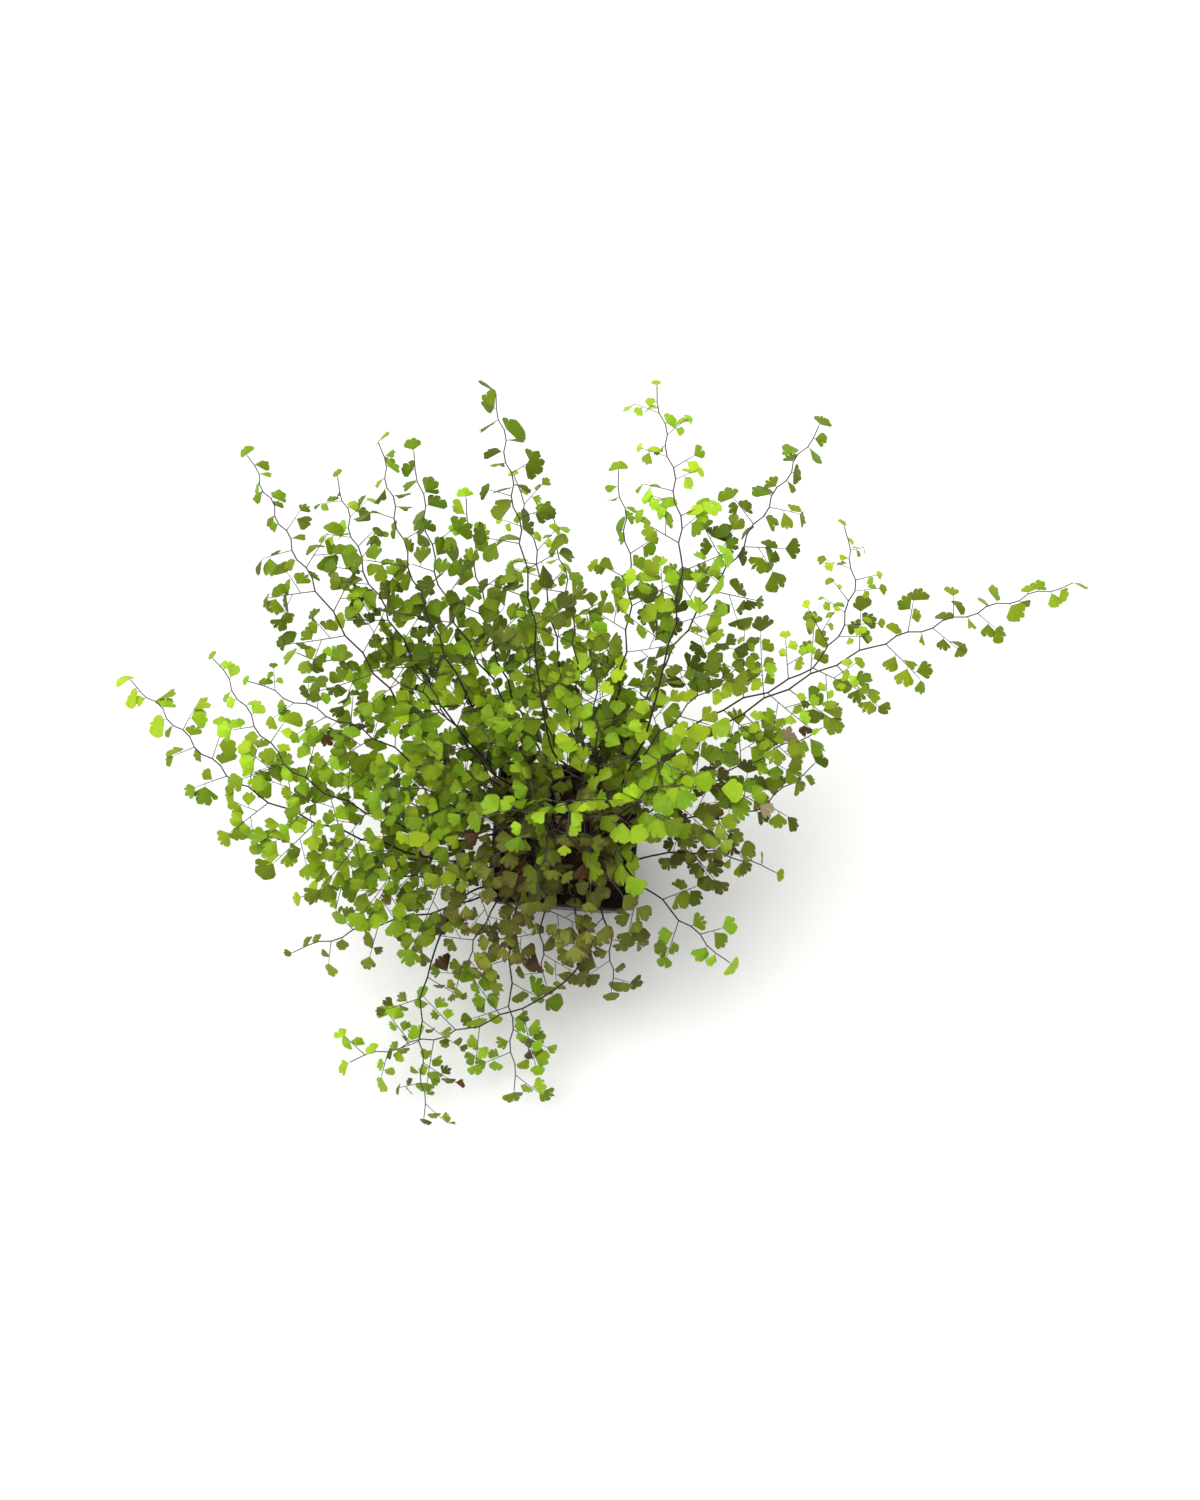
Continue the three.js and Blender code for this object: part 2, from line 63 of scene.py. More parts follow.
# %% Chance, mixing and directions
UP = np.array([0.0, 0.0, 1.0])


def draw(i, j, k):
    """Fraction part of sin(12.9898 i + 78.233 j + 37.719 k) times 43758.5453, from 0 to 1."""
    wave = np.sin(i * 12.9898 + j * 78.233 + k * 37.719) * 43758.5453
    return wave - np.floor(wave)


def lerp(low, high, share):
    """low at share 0, high at share 1, and a straight line between."""
    return low + (high - low) * share


def unit(vectors):
    """Each vector divided by its own length."""
    return vectors / np.linalg.norm(vectors, axis=-1, keepdims=True)


def dot(a, b):
    """The sum of products along the last axis, kept as a column."""
    return (a * b).sum(axis=-1, keepdims=True)


def turned(vectors, axes, angles):
    """Vectors turned about axes square to them: v cos angle + (axis cross v) sin angle."""
    return vectors * np.cos(angles) + np.cross(axes, vectors) * np.sin(angles)


print("three draws:", [round(float(draw(1, 2, k)), 3) for k in range(3)])

# %% [markdown]
# ## Meshes from arrays
#
# Every surface here is a grid of points, open, or closed into a tube. A grid is a pattern of
# four-sided faces that only has to be worked out once, and copies of it are the same pattern
# with larger point numbers. A shell is a handful of arrays: points, faces, a flat place (UV)
# for patterns, and numbers that the finishes read. Shells are joined by stacking the arrays.
# Lengths are in millimetres until a mesh is made, and angles are given in degrees.

# %% Shells
NUMBERS = ("tone", "tint", "age", "under", "thin")


def grid_faces(rows, columns, wrap=False):
    """Faces of a grid with its points numbered row by row, and with wrap the last column joins
    the first. Seen with rows going up and columns going left, the faces point to the eye."""
    r, c = np.meshgrid(np.arange(rows - 1), np.arange(columns - (not wrap)), indexing="ij")
    after = (c + 1) % columns
    corners = (r * columns + c, (r + 1) * columns + c, (r + 1) * columns + after, r * columns + after)
    return np.stack([corner.ravel() for corner in corners], axis=1)


def copies(faces, count, points_each):
    """The same faces for each of so many copies, with every copy's point numbers moved on."""
    steps = np.arange(count)[:, None, None] * points_each
    return (faces[None] + steps).reshape(-1, faces.shape[1])


def shell(points, faces, uv=None, finish=0, **numbers):
    """One shell, with every number that the finishes read spread over all its points."""
    points = np.asarray(points, float).reshape(-1, 3)
    count = len(points)
    made = {"points": points, "faces": faces, "finish": np.full(len(faces), finish)}
    made["uv"] = np.zeros((count, 2)) if uv is None else uv.reshape(-1, 2)
    for name in NUMBERS:
        made[name] = np.broadcast_to(numbers.get(name, 0.0), (count,))
    return made


def joined(shells):
    """Several shells as one, with their faces' point numbers moved on by the points before."""
    starts = np.cumsum([0] + [len(s["points"]) for s in shells[:-1]])
    made = {key: np.concatenate([s[key] for s in shells]) for key in shells[0] if key != "faces"}
    made["faces"] = np.concatenate([s["faces"] + start for s, start in zip(shells, starts)])
    return made


print("a 3 by 4 grid has", len(grid_faces(3, 4)), "faces, and finishes read", NUMBERS)

# %% [markdown]
# ## Round rods
#
# Stalks, ribs, hairs, crumbs and roots are all rods: rings of a few points along a path. Blender
# could bevel a curve instead, but a rod worked out as points has the number of sides and the
# taper that it needs, and hundreds of rods are made in one go.

# %% Rods
def rod_faces(rings, sides):
    """Faces of one rod: its wall, and at each end a flat lid in strips across the ring."""
    strips = np.arange(sides // 2 - 1)
    lid = np.stack([strips, strips + 1, sides - 2 - strips, sides - 1 - strips], axis=1)
    wall = grid_faces(rings, sides, wrap=True)[:, ::-1]
    return np.concatenate([wall, lid[:, ::-1], lid + (rings - 1) * sides])


def tubes(paths, first, second, radii, sides, finish=0, **numbers):
    """Round rods, one for each path. At each point of a path, side s of the ring lies at
    radius times (first cos s + second sin s), where first, second and the way the path runs
    are square to each other and right-handed. Flat ends close each rod."""
    count, rings = paths.shape[:2]
    first, second = (np.broadcast_to(way, paths.shape) for way in (first, second))
    radii = np.broadcast_to(radii, (count, rings))
    around = np.arange(sides) * 2 * np.pi / sides
    cosines, sines = np.cos(around)[:, None], np.sin(around)[:, None]
    spokes = first[..., None, :] * cosines + second[..., None, :] * sines
    points = paths[..., None, :] + spokes * radii[..., None, None]
    for key, value in numbers.items():
        numbers[key] = np.repeat(np.broadcast_to(value, (count, rings)).ravel(), sides)
    shape = (count, rings, sides)
    along = np.broadcast_to(np.linspace(0, 1, rings)[None, :, None], shape)
    turn = np.broadcast_to(around / (2 * np.pi), shape)
    faces = copies(rod_faces(rings, sides), count, rings * sides)
    return shell(points, faces, np.stack([along, turn], axis=-1), finish, **numbers)


print("a rod of 2 rings and 4 sides has", len(rod_faces(2, 4)), "faces")

# %% [markdown]
# ## From a shell to an object
#
# A finished piece stands at the origin, unturned, with its place in its mesh, so that patterns
# on Object coordinates stay where they are. It rides on the plant's one body, has a material
# slot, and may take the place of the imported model's plain node. Smooth shading would blur
# real edges, so an edge sharper than a set angle stays sharp.

# %% Pieces
SHARP_ANGLE = math.radians(48)
WELD_DISTANCE = 1e-6


def stand(name, data):
    """A new object with this data in the scene."""
    obj = bpy.data.objects.new(name, data)
    bpy.context.scene.collection.objects.link(obj)
    return obj


def weld(mesh):
    """Joins points that lie in one place, which closes seams and poles."""
    work = bmesh.new()
    work.from_mesh(mesh)
    bmesh.ops.remove_doubles(work, verts=work.verts, dist=WELD_DISTANCE)
    work.to_mesh(mesh)
    work.free()


def piece(name, made, finishes, node=None, sharp=SHARP_ANGLE, welded=False):
    """Puts a shell, in millimetres, into a mesh in metres, and tells the frame about it."""
    mesh = bpy.data.meshes.new(name)
    mesh.from_pydata((made["points"] * MM).tolist(), [], made["faces"].tolist())
    corner_points = np.empty(len(mesh.loops), np.int32)
    mesh.loops.foreach_get("vertex_index", corner_points)
    flat = mesh.uv_layers.new(name="surface")
    flat.data.foreach_set("uv", made["uv"][corner_points].astype(np.float32).ravel())
    for number in NUMBERS:
        if np.any(made[number]):
            layer = mesh.attributes.new(number, "FLOAT", "POINT")
            layer.data.foreach_set("value", made[number].astype(np.float32))
    for finish in finishes:
        mesh.materials.append(finish)
    mesh.polygons.foreach_set("material_index", made["finish"].astype(np.int32))
    mesh.polygons.foreach_set("use_smooth", np.ones(len(mesh.polygons), bool))
    if welded:
        weld(mesh)
    mesh.update()
    mesh.set_sharp_from_angle(angle=sharp)
    obj = stand(name, mesh)
    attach(obj, ROOT)
    if node:
        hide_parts(node)
    return obj


print("edges stay sharp from", round(math.degrees(SHARP_ANGLE)), "degrees")

# %% [markdown]
# ## Finishes
#
# Each finish is a small network of nodes ahead of one Principled shader. Colours are written
# as the sRGB hex values that an eye or a colour picker gives, and one function turns them into
# the linear numbers that light is worked out in. One function adds a node with its settings
# and its links, so a network reads as a list of steps.

# %% Colours and nodes
# A Mix node has sockets for several kinds of data. These are the numbers of those for colours.
SHARE, FROM, TO, MIXED = 0, 6, 7, 2


def linear(hex_colour):
    """sRGB hex to linear: c / 12.92 up to 0.04045, and ((c + 0.055) / 1.055) ** 2.4 above."""
    parts = [(hex_colour >> shift & 255) / 255 for shift in (16, 8, 0)]
    return [c / 12.92 if c <= 0.04045 else ((c + 0.055) / 1.055) ** 2.4 for c in parts] + [1.0]


def feed(tree, node, inputs):
    """Sets each of these inputs of a node, or links it where it is given another's output."""
    for key, value in inputs.items():
        if isinstance(value, bpy.types.NodeSocket):
            tree.links.new(value, node.inputs[key])
        else:
            node.inputs[key].default_value = value


def add(tree, kind, inputs=None, out=0, **settings):
    """Adds a shader node with its inputs and settings, and gives one of its outputs."""
    made = tree.nodes.new("ShaderNode" + kind)
    for name, value in settings.items():
        setattr(made, name, value)
    feed(tree, made, inputs or {})
    return made.outputs[out]


def finish_of(name):
    """A new material, its node tree, its Principled shader and its output."""
    material = bpy.data.materials.new(name)
    material.use_nodes = True
    nodes = material.node_tree.nodes
    return material, material.node_tree, nodes["Principled BSDF"], nodes["Material Output"]


print("leaf green in linear numbers:", [round(c, 3) for c in linear(0x5F8F1F)])

# %% [markdown]
# ## The leaflet's finish
#
# A maidenhair leaflet is a blade one or two tenths of a millimetre thick with no midrib. Veins
# fork from its foot and reach the outer edge side by side, and light passes through it. A
# leaflet opens yellow-green, turns mid green, and ends olive, with its outer edge drying
# brown. Under the edge of a full-grown one lie the brown flaps that hold the spores. A real
# leaflet has about twice as many veins, too fine to show, so fewer are drawn.
#
# The pattern has to follow the blade, so the flat place (UV) holds the way from foot to edge
# and the way across the fan. Where a leaflet stands in its life is a number on the mesh, so
# one finish serves every frond. First come the steps that its colour goes through.

# %% Leaflet colours
LEAF_YOUNG = linear(0x9DC228)
LEAF_FULL = linear(0x739012)
LEAF_OLD = linear(0x78802C)
LEAF_DRY_EDGE = linear(0x6B5434)
LEAF_WITHERED = linear(0x5A4229)
LEAF_PAPERY = linear(0xB09B7C)
VEINS_ACROSS, VEIN_STRENGTH = 15, 0.14
FLAPS_ACROSS = 7
FULL_GROWN = 0.5


def leaf_green(tree, age, tone, tint, patch):
    """From young to full-grown to old, and each leaflet a little lighter or darker, yellower
    or bluer, and never quite even. The tone that makes a leaflet lighter or darker is partly
    chance and partly painted shade low in the crown."""
    to_full = add(tree, "MapRange", {"Value": age, "From Max": FULL_GROWN})
    to_old = add(tree, "MapRange", {"Value": age, "From Min": FULL_GROWN})
    green = add(tree, "Mix", {SHARE: to_full, FROM: LEAF_YOUNG, TO: LEAF_FULL}, MIXED, data_type="RGBA")
    green = add(tree, "Mix", {SHARE: to_old, FROM: green, TO: LEAF_OLD}, MIXED, data_type="RGBA")
    hue = add(tree, "MapRange", {"Value": tint, "To Min": 0.474, "To Max": 0.522})
    value = add(tree, "MapRange", {"Value": tone, "To Min": 0.31, "To Max": 1.73})
    value = add(tree, "Math", {0: value, 1: patch}, operation="MULTIPLY")
    return add(tree, "HueSaturation", {"Hue": hue, "Value": value, "Color": green})


def leaf_veins(tree, across):
    """Lines from the foot to the edge, where the size of a sine across the fan is near 1."""
    turns = add(tree, "Math", {0: across, 1: VEINS_ACROSS * math.pi}, operation="MULTIPLY")
    ripple = add(tree, "Math", {0: turns}, operation="SINE")
    ridge = add(tree, "Math", {0: ripple}, operation="ABSOLUTE")
    return add(tree, "MapRange", {"Value": ridge, "From Min": 0.75, "To Max": VEIN_STRENGTH})


def spore_flaps(tree, outwards, across, age, under):
    """A row of marks near the edge, only on the underside and only when full-grown."""
    turns = add(tree, "Math", {0: across, 1: FLAPS_ACROSS * math.pi}, operation="MULTIPLY")
    wave = add(tree, "Math", {0: turns}, operation="SINE")
    flap = add(tree, "MapRange", {"Value": wave, "From Min": 0.1, "From Max": 0.4})
    rim = add(tree, "MapRange", {"Value": outwards, "From Min": 0.86, "From Max": 0.9})
    ripe = add(tree, "MapRange", {"Value": age, "From Min": 0.3, "From Max": FULL_GROWN})
    for limit in (rim, ripe, under):
        flap = add(tree, "Math", {0: flap, 1: limit}, operation="MULTIPLY")
    return flap


def leaf_drying(tree, green, outwards, age, tone, blotch, patch):
    """Old leaflets dry from the edge inwards, unevenly, and withered ones are brown all over,
    the lightest of them as pale as paper."""
    dryness = add(tree, "MapRange", {"Value": age, "From Min": 0.35, "To Max": 0.52})
    uneven = add(tree, "MapRange", {"Value": blotch, "To Min": -0.6, "To Max": 0.6})
    reach = add(tree, "Math", {0: outwards, 1: dryness}, operation="ADD")
    reach = add(tree, "Math", {0: reach, 1: uneven}, operation="ADD")
    dry = add(tree, "MapRange", {"Value": reach, "From Min": 1.2, "From Max": 1.5, "To Max": 0.8})
    leaf = add(tree, "Mix", {SHARE: dry, FROM: green, TO: LEAF_DRY_EDGE}, MIXED, data_type="RGBA")
    papery = add(tree, "MapRange", {"Value": tone, "From Min": 0.7, "From Max": 0.8})
    brown = add(tree, "Mix", {SHARE: papery, FROM: LEAF_WITHERED, TO: LEAF_PAPERY}, MIXED, data_type="RGBA")
    brown = add(tree, "HueSaturation", {"Value": patch, "Color": brown})
    withered = add(tree, "MapRange", {"Value": age, "From Min": 1.05, "From Max": 1.3})
    return add(tree, "Mix", {SHARE: withered, FROM: leaf, TO: brown}, MIXED, data_type="RGBA")


print("veins across a leaflet:", VEINS_ACROSS)

# %% [markdown]
# A Principled shader gives the leaflet's skin, which is rather matt, and a Translucent one
# mixed in gives the light that comes through from behind. That is what makes a fern glow.

# %% Leaflet finish
LEAF_PALE = linear(0xA5B558)
SPORE_BROWN = linear(0x6A4A26)
LEAF_IOR, LEAF_ROUGHNESS, LEAF_SPECULAR = 1.42, 0.46, 0.2
THROUGH_SHARE = 0.28
UNDER_PALENESS = 0.3
BLOTCH_SIZE = 3.0 * MM


def leaflet_finish():
    """Thin living tissue: green by its age, veined, paler below, with spore flaps and drying
    edges, and letting light through."""
    material, tree, skin, output = finish_of("maidenhair_leaflet")
    names = ("tone", "tint", "age", "under")
    tone, tint, age, under = (add(tree, "Attribute", out="Fac", attribute_name=name) for name in names)
    flat = add(tree, "UVMap", uv_map="surface")
    outwards, across = (add(tree, "SeparateXYZ", {"Vector": flat}, way) for way in "XY")
    where = add(tree, "TexCoord", out="Object")
    noise = {"Vector": where, "Scale": 1 / BLOTCH_SIZE, "Detail": 3.0, "Roughness": 0.6}
    blotch = add(tree, "TexNoise", noise)
    patch = add(tree, "MapRange", {"Value": blotch, "To Min": 0.82, "To Max": 1.18})
    paler = add(tree, "Math", {0: under, 1: UNDER_PALENESS}, operation="MULTIPLY")
    vein = leaf_veins(tree, across)
    flap = spore_flaps(tree, outwards, across, age, under)
    leaf = leaf_green(tree, age, tone, tint, patch)
    for share, colour in ((vein, LEAF_PALE), (paler, LEAF_PALE), (flap, SPORE_BROWN)):
        leaf = add(tree, "Mix", {SHARE: share, FROM: leaf, TO: colour}, MIXED, data_type="RGBA")
    leaf = leaf_drying(tree, leaf, outwards, age, tone, blotch, patch)
    bump = add(tree, "Bump", {"Height": vein, "Strength": 0.25, "Distance": 0.1 * MM})
    feed(tree, skin, {"Base Color": leaf, "Normal": bump, "Roughness": LEAF_ROUGHNESS})
    feed(tree, skin, {"IOR": LEAF_IOR, "Specular IOR Level": LEAF_SPECULAR})
    through = add(tree, "BsdfTranslucent", {"Color": leaf, "Normal": bump})
    both = add(tree, "MixShader", {0: THROUGH_SHARE, 1: skin.outputs[0], 2: through})
    feed(tree, output, {"Surface": both})
    return material


LEAFLET_FINISH = leaflet_finish()
print("leaflet finish:", len(LEAFLET_FINISH.node_tree.nodes), "nodes")

# %% [markdown]
# ## The stalk's finish
#
# The stalks are what gives a maidenhair its name: hard, smooth and near black like horsehair,
# with a reddish shine where they are young. Towards the tips, where they are thinnest, they
# look purplish grey. The number called thin runs from 0 at the soil to 1 in the finest stalks.

# %% Stalk finish
STALK_BLACK = linear(0x150E0D)
STALK_RED = linear(0x55291F)
STALK_GREY = linear(0x4C4240)
STALK_ROUGHNESS, STALK_SPECULAR = 0.36, 0.3
STALK_STREAK = 0.8 * MM


def stalk_finish():
    """Hard smooth bark: near black, redder on some fronds, greyer where thin, and streaked."""
    material, tree, skin, _ = finish_of("wiry_fern_stalk")
    thin, tone = (add(tree, "Attribute", out="Fac", attribute_name=name) for name in ("thin", "tone"))
    where = add(tree, "TexCoord", out="Object")
    streak = add(tree, "TexNoise", {"Vector": where, "Scale": 1 / STALK_STREAK})
    redness = add(tree, "MapRange", {"Value": tone, "From Min": 0.55, "To Max": 0.8})
    bark = add(tree, "Mix", {SHARE: redness, FROM: STALK_BLACK, TO: STALK_RED}, MIXED, data_type="RGBA")
    fading = add(tree, "MapRange", {"Value": thin, "From Min": 0.5, "To Max": 0.85})
    bark = add(tree, "Mix", {SHARE: fading, FROM: bark, TO: STALK_GREY}, MIXED, data_type="RGBA")
    light = add(tree, "MapRange", {"Value": streak, "To Min": 0.75, "To Max": 1.25})
    bark = add(tree, "HueSaturation", {"Value": light, "Color": bark})
    feed(tree, skin, {"Base Color": bark, "Roughness": STALK_ROUGHNESS})
    feed(tree, skin, {"Specular IOR Level": STALK_SPECULAR})
    return material


STALK_FINISH = stalk_finish()
print("stalk finish:", len(STALK_FINISH.node_tree.nodes), "nodes")

# %% [markdown]
# ## Where the fronds stand
#
# Each row is one frond of the plant: its route in millimetres from the soil to the tip, the
# share of it that is bare stalk, the most leaflets on one side rib, the leaflet's radius, how far
# leaflets turn edge-on in degrees, the age, from 0, just unrolled, to 1, last year's, and the
# most small branches on one rib. All but the last two are the imported model's own numbers, so
# that the fine fronds grow where its plain ones stand.

# %% Frond routes
FRONDS = [
    # Long fronds to the left.
    ([(-29, -8), (-70, -28, 118), (-174, -8, 168), (-265, 62, 140)], 0.34, 7, 9.5, 40, 0.35, 3),
    ([(-27, -3), (-72, -15, 124), (-147, 0, 192), (-208, 68, 178)], 0.36, 6, 8.5, 30, 0.2, 4),
    ([(-33, -25), (-56, -50, 99), (-108, -68, 102), (-159, -86, 82)], 0.3, 4, 8.5, 45, 0.85, 2),
    ([(-31, -17), (-60, -38, 108), (-104, -43, 128), (-152, -56, 112)], 0.4, 6, 9.5, 20, 0.3, 3),
    # Tall fronds that lean away behind.
    ([(-20, 8), (-70, 26, 150), (-134, 84, 246), (-196, 181, 212)], 0.46, 6, 8, 25, 0.5, 2),
    ([(-15, 18), (-58, 36, 160), (-110, 96, 246), (-140, 166, 226)], 0.45, 5, 8.5, 30, 0.1, 1),
    ([(-8, 12), (-48, 40, 158), (-86, 98, 256), (-117, 183, 240)], 0.48, 5, 8.5, 60, 0.45, 0),
    ([(-10, 27), (-36, 56, 170), (-72, 98, 232), (-97, 180, 238)], 0.4, 6, 10, 50, 0.52, 0),
    ([(-2, 20), (-26, 48, 165), (-48, 88, 214), (-66, 158, 230)], 0.42, 5, 9, 60, 0.4, 1),
    ([(4, 29), (-10, 34, 186), (-24, 96, 262), (-54, 217, 242)], 0.52, 4, 11, 65, 0.66, 0),
    ([(11, 20), (2, 46, 165), (-16, 104, 226), (-40, 172, 232)], 0.5, 4, 8, 30, 0.08, 2),
    ([(9, 9), (8, 40, 160), (-2, 96, 224), (-18, 158, 214)], 0.42, 5, 8.5, 45, 0.35, 3),
    ([(17, 26), (26, 60, 178), (30, 106, 236), (18, 182, 228)], 0.45, 5, 8.5, 60, 0.58, 2),
    ([(23, 16), (46, 46, 184), (56, 114, 270), (36, 222, 256)], 0.52, 5, 9, 35, 0.1, 1),
    ([(26, 23), (46, 72, 180), (84, 126, 245), (130, 221, 222)], 0.42, 6, 9.5, 30, 0.52, 1),
    # Long fronds to the right.
    ([(31, 12), (72, 54, 168), (132, 78, 214), (154, 122, 216), (150, 170, 198)], 0.5, 5, 8, 25, 0.0, 2),
    ([(33, 3), (62, 40, 148), (150, 88, 198), (218, 122, 192), (290, 158, 166)], 0.38, 6, 9, 45, 0.5, 0),
    ([(24, -4), (62, 12, 140), (98, 30, 162), (148, 62, 150)], 0.36, 6, 10, 20, 0.55, 1),
    ([(33, -8), (66, 6, 118), (110, 12, 136), (147, 46, 126)], 0.34, 6, 9, 25, 0.7, 1),
    ([(31, -18), (56, -14, 106), (92, -10, 114), (130, -16, 95)], 0.4, 3, 8, 65, 0.4, 0),
    ([(23, -25), (50, -32, 104), (77, -53, 104), (106, -72, 88)], 0.34, 5, 9, 20, 0.3, 0),
    # Fronds that hang over the front of the pot.
    (
        [(8, -27), (11, -52, 106), (14, -84, 92), (-33, -114, 62), (-103, -138, 40), (-124, -146, 34)],
        0.5, 5, 8.5, 40, 0.3, 0,
    ),
    ([(-9, -25), (-24, -46, 102), (-26, -92, 74), (-20, -155, 30)], 0.45, 5, 9, 35, 0.35, 0),
    ([(-25, -27), (-60, -52, 106), (-78, -104, 80), (-75, -176, 26)], 0.5, 4, 7, 60, 0.75, 0),
    ([(-17, -25), (-38, -54, 110), (-48, -74, 102), (-58, -98, 76)], 0.4, 5, 11, 20, 0.75, 3),
    ([(-3, -28), (-8, -52, 108), (-8, -72, 96), (-4, -92, 70)], 0.4, 5, 11, 20, 0.75, 3),
    ([(17, -28), (28, -50, 102), (34, -70, 90), (36, -92, 64)], 0.4, 4, 12, 15, 0.8, 0),
    # The crown: shorter fronds that close the top over the pot.
    ([(-21, 0), (-68, 10, 154), (-112, 26, 198), (-184, 54, 186)], 0.4, 6, 8.5, 20, 0.08, 4),
    ([(-14, 4), (-48, 22, 172), (-88, 52, 208), (-158, 72, 190)], 0.42, 5, 8.5, 25, 0.4, 4),
    ([(-27, 16), (-42, 16, 148), (-76, 50, 200), (-104, 84, 208)], 0.4, 7, 9.5, 15, 0.15, 4),
    ([(2, 12), (-6, 30, 156), (-18, 58, 196), (-32, 92, 196)], 0.4, 7, 9.5, 15, 0.2, 3),
    ([(14, 2), (18, 24, 160), (14, 62, 200), (6, 104, 200)], 0.4, 6, 9.5, 15, 0.15, 3),
    ([(25, 5), (34, 22, 150), (60, 50, 190), (92, 82, 186)], 0.4, 7, 10, 15, 0.25, 3),
    ([(16, -10), (32, -2, 150), (56, 14, 176), (88, 16, 170)], 0.36, 6, 12, 10, 0.29, 0),
    ([(-20, -14), (-46, -10, 140), (-80, 2, 168), (-120, 6, 164)], 0.36, 7, 9, 15, 0.2, 4),
    ([(-6, 3), (-9, 4, 138), (-18, -4, 170), (-44, -12, 172)], 0.32, 7, 9.5, 10, 0.22, 4),
    ([(7, -3), (11, -4, 140), (24, -2, 168), (52, 8, 166)], 0.32, 7, 10, 10, 0.32, 1),
    ([(2, -12), (6, -16, 120), (18, -28, 140), (38, -42, 128)], 0.32, 6, 9.5, 15, 0.62, 0),
    ([(-11, -8), (-16, -14, 128), (-32, -24, 146), (-60, -38, 136)], 0.32, 7, 10, 15, 0.74, 4),
    ([(-2, -4), (-2, -6, 132), (-8, -22, 158), (-10, -52, 146)], 0.32, 7, 9.5, 15, 0.7, 4),
    ([(0, 4), (3, 4, 160), (4, -6, 190), (4, -26, 188)], 0.36, 6, 9.5, 15, 0.14, 3),
]
print("fronds:", len(FRONDS))

# %% [markdown]
# ## A frond's stalk
#
# A frond's stalk rises from the soil, leans out and arches over. A smooth curve through a few
# chosen points does this: a Catmull-Rom curve passes through every point, and leaves each one
# along the line between its neighbours. The curve is walked by length and not by point number,
# so that ribs stand at even distances. The leaf side of the frond is square to the stalk and
# to a level line sideways, so it faces the middle of the plant low down and the sky above.

# %% Routes as smooth curves
SOIL_TOP = 68.0
STALK_CLEAR = 2.2
RISE = np.array([0.28, 0.28, 0.55])
STEPS_PER_SPAN = 80


def route_points(route):
    """The chosen points, with the root on the soil and one more point on the rise from it."""
    root = np.array([*route[0], SOIL_TOP + STALK_CLEAR])
    later = np.array(route[1:], float)
    return np.vstack([root, lerp(root, later[0], RISE), later])


def catmull_rom(points):
    """Many places along the curve. Between two points it is the cubic that starts and ends at
    them, with slopes half the way from the point before to the point after. Past either end
    the next point is taken as far on as the last step."""
    ends = (2 * points[0] - points[1], 2 * points[-1] - points[-2])
    p = np.vstack([ends[0], points, ends[1]])
    t = np.linspace(0, 1, STEPS_PER_SPAN, endpoint=False)[None, :, None]
    p0, p1, p2, p3 = (p[i : len(p) - 3 + i][:, None, :] for i in range(4))
    s1, s2 = (p2 - p0) / 2, (p3 - p1) / 2
    cubic = p1 + s1 * t + (3 * (p2 - p1) - 2 * s1 - s2) * t**2 + (2 * (p1 - p2) + s1 + s2) * t**3
    return np.vstack([cubic.reshape(-1, 3), points[-1]])


def stalk_of(route):
    """The curve's length and, as a function of shares of it, places and three directions:
    along the stalk, to its left, and out of the leaf side of the frond."""
    curve = catmull_rom(route_points(route))
    steps = np.linalg.norm(np.diff(curve, axis=0), axis=1)
    walked = np.concatenate([[0], np.cumsum(steps)])
    sideways = unit(np.array([-curve[-1][1], curve[-1][0], 0.0]))
    slopes = unit(np.gradient(curve, walked, axis=0))

    def at(shares):
        """Places, ways along, ways to the left and leaf sides at these shares of the length."""
        wanted = np.asarray(shares) * walked[-1]
        place = np.stack([np.interp(wanted, walked, line) for line in curve.T], axis=1)
        along = unit(np.stack([np.interp(wanted, walked, line) for line in slopes.T], axis=1))
        left = unit(sideways - along * dot(along, sideways))
        return place, along, left, np.cross(along, left)

    return walked[-1], at


lengths = [stalk_of(row[0])[0] for row in FRONDS]
print("stalks are", round(min(lengths)), "to", round(max(lengths)), "mm long")

# %% [markdown]
# ## Side ribs
#
# Side ribs leave the stalk left and right in turn, further apart in angle low down than near
# the tip, and carry fewer leaflets the nearer they are to the tip, where the last ones are
# single leaflets. Each rib sags a little. This cell turns a frond's row into arrays with one
# entry for each rib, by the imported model's rule.

# %% Rib rule
ZIGZAG = 1.2
RIB_SPACING, RIB_START = 15.0, 0.3
RIB_ANGLE, RIB_ANGLE_RANGE = (68, 56), (-7, 7)
RIB_TILT_RANGE = (-16, 16)
RIB_SAG = 0.0035
RIB_TAPER_RANGE, HIGH_TIP = (0.35, 1.1), 100.0
MORE_LEAFLETS = 1.0
COUNT_RANGE = (0.8, 1.2)
BRANCHED_SHARE, UNBRANCHED = 0.65, 3
SINGLES_FROM = 0.45
UNROLLING_AGE = 0.12
DRAW_COUNT, DRAW_ANGLE, DRAW_TILT = 50, 51, 52


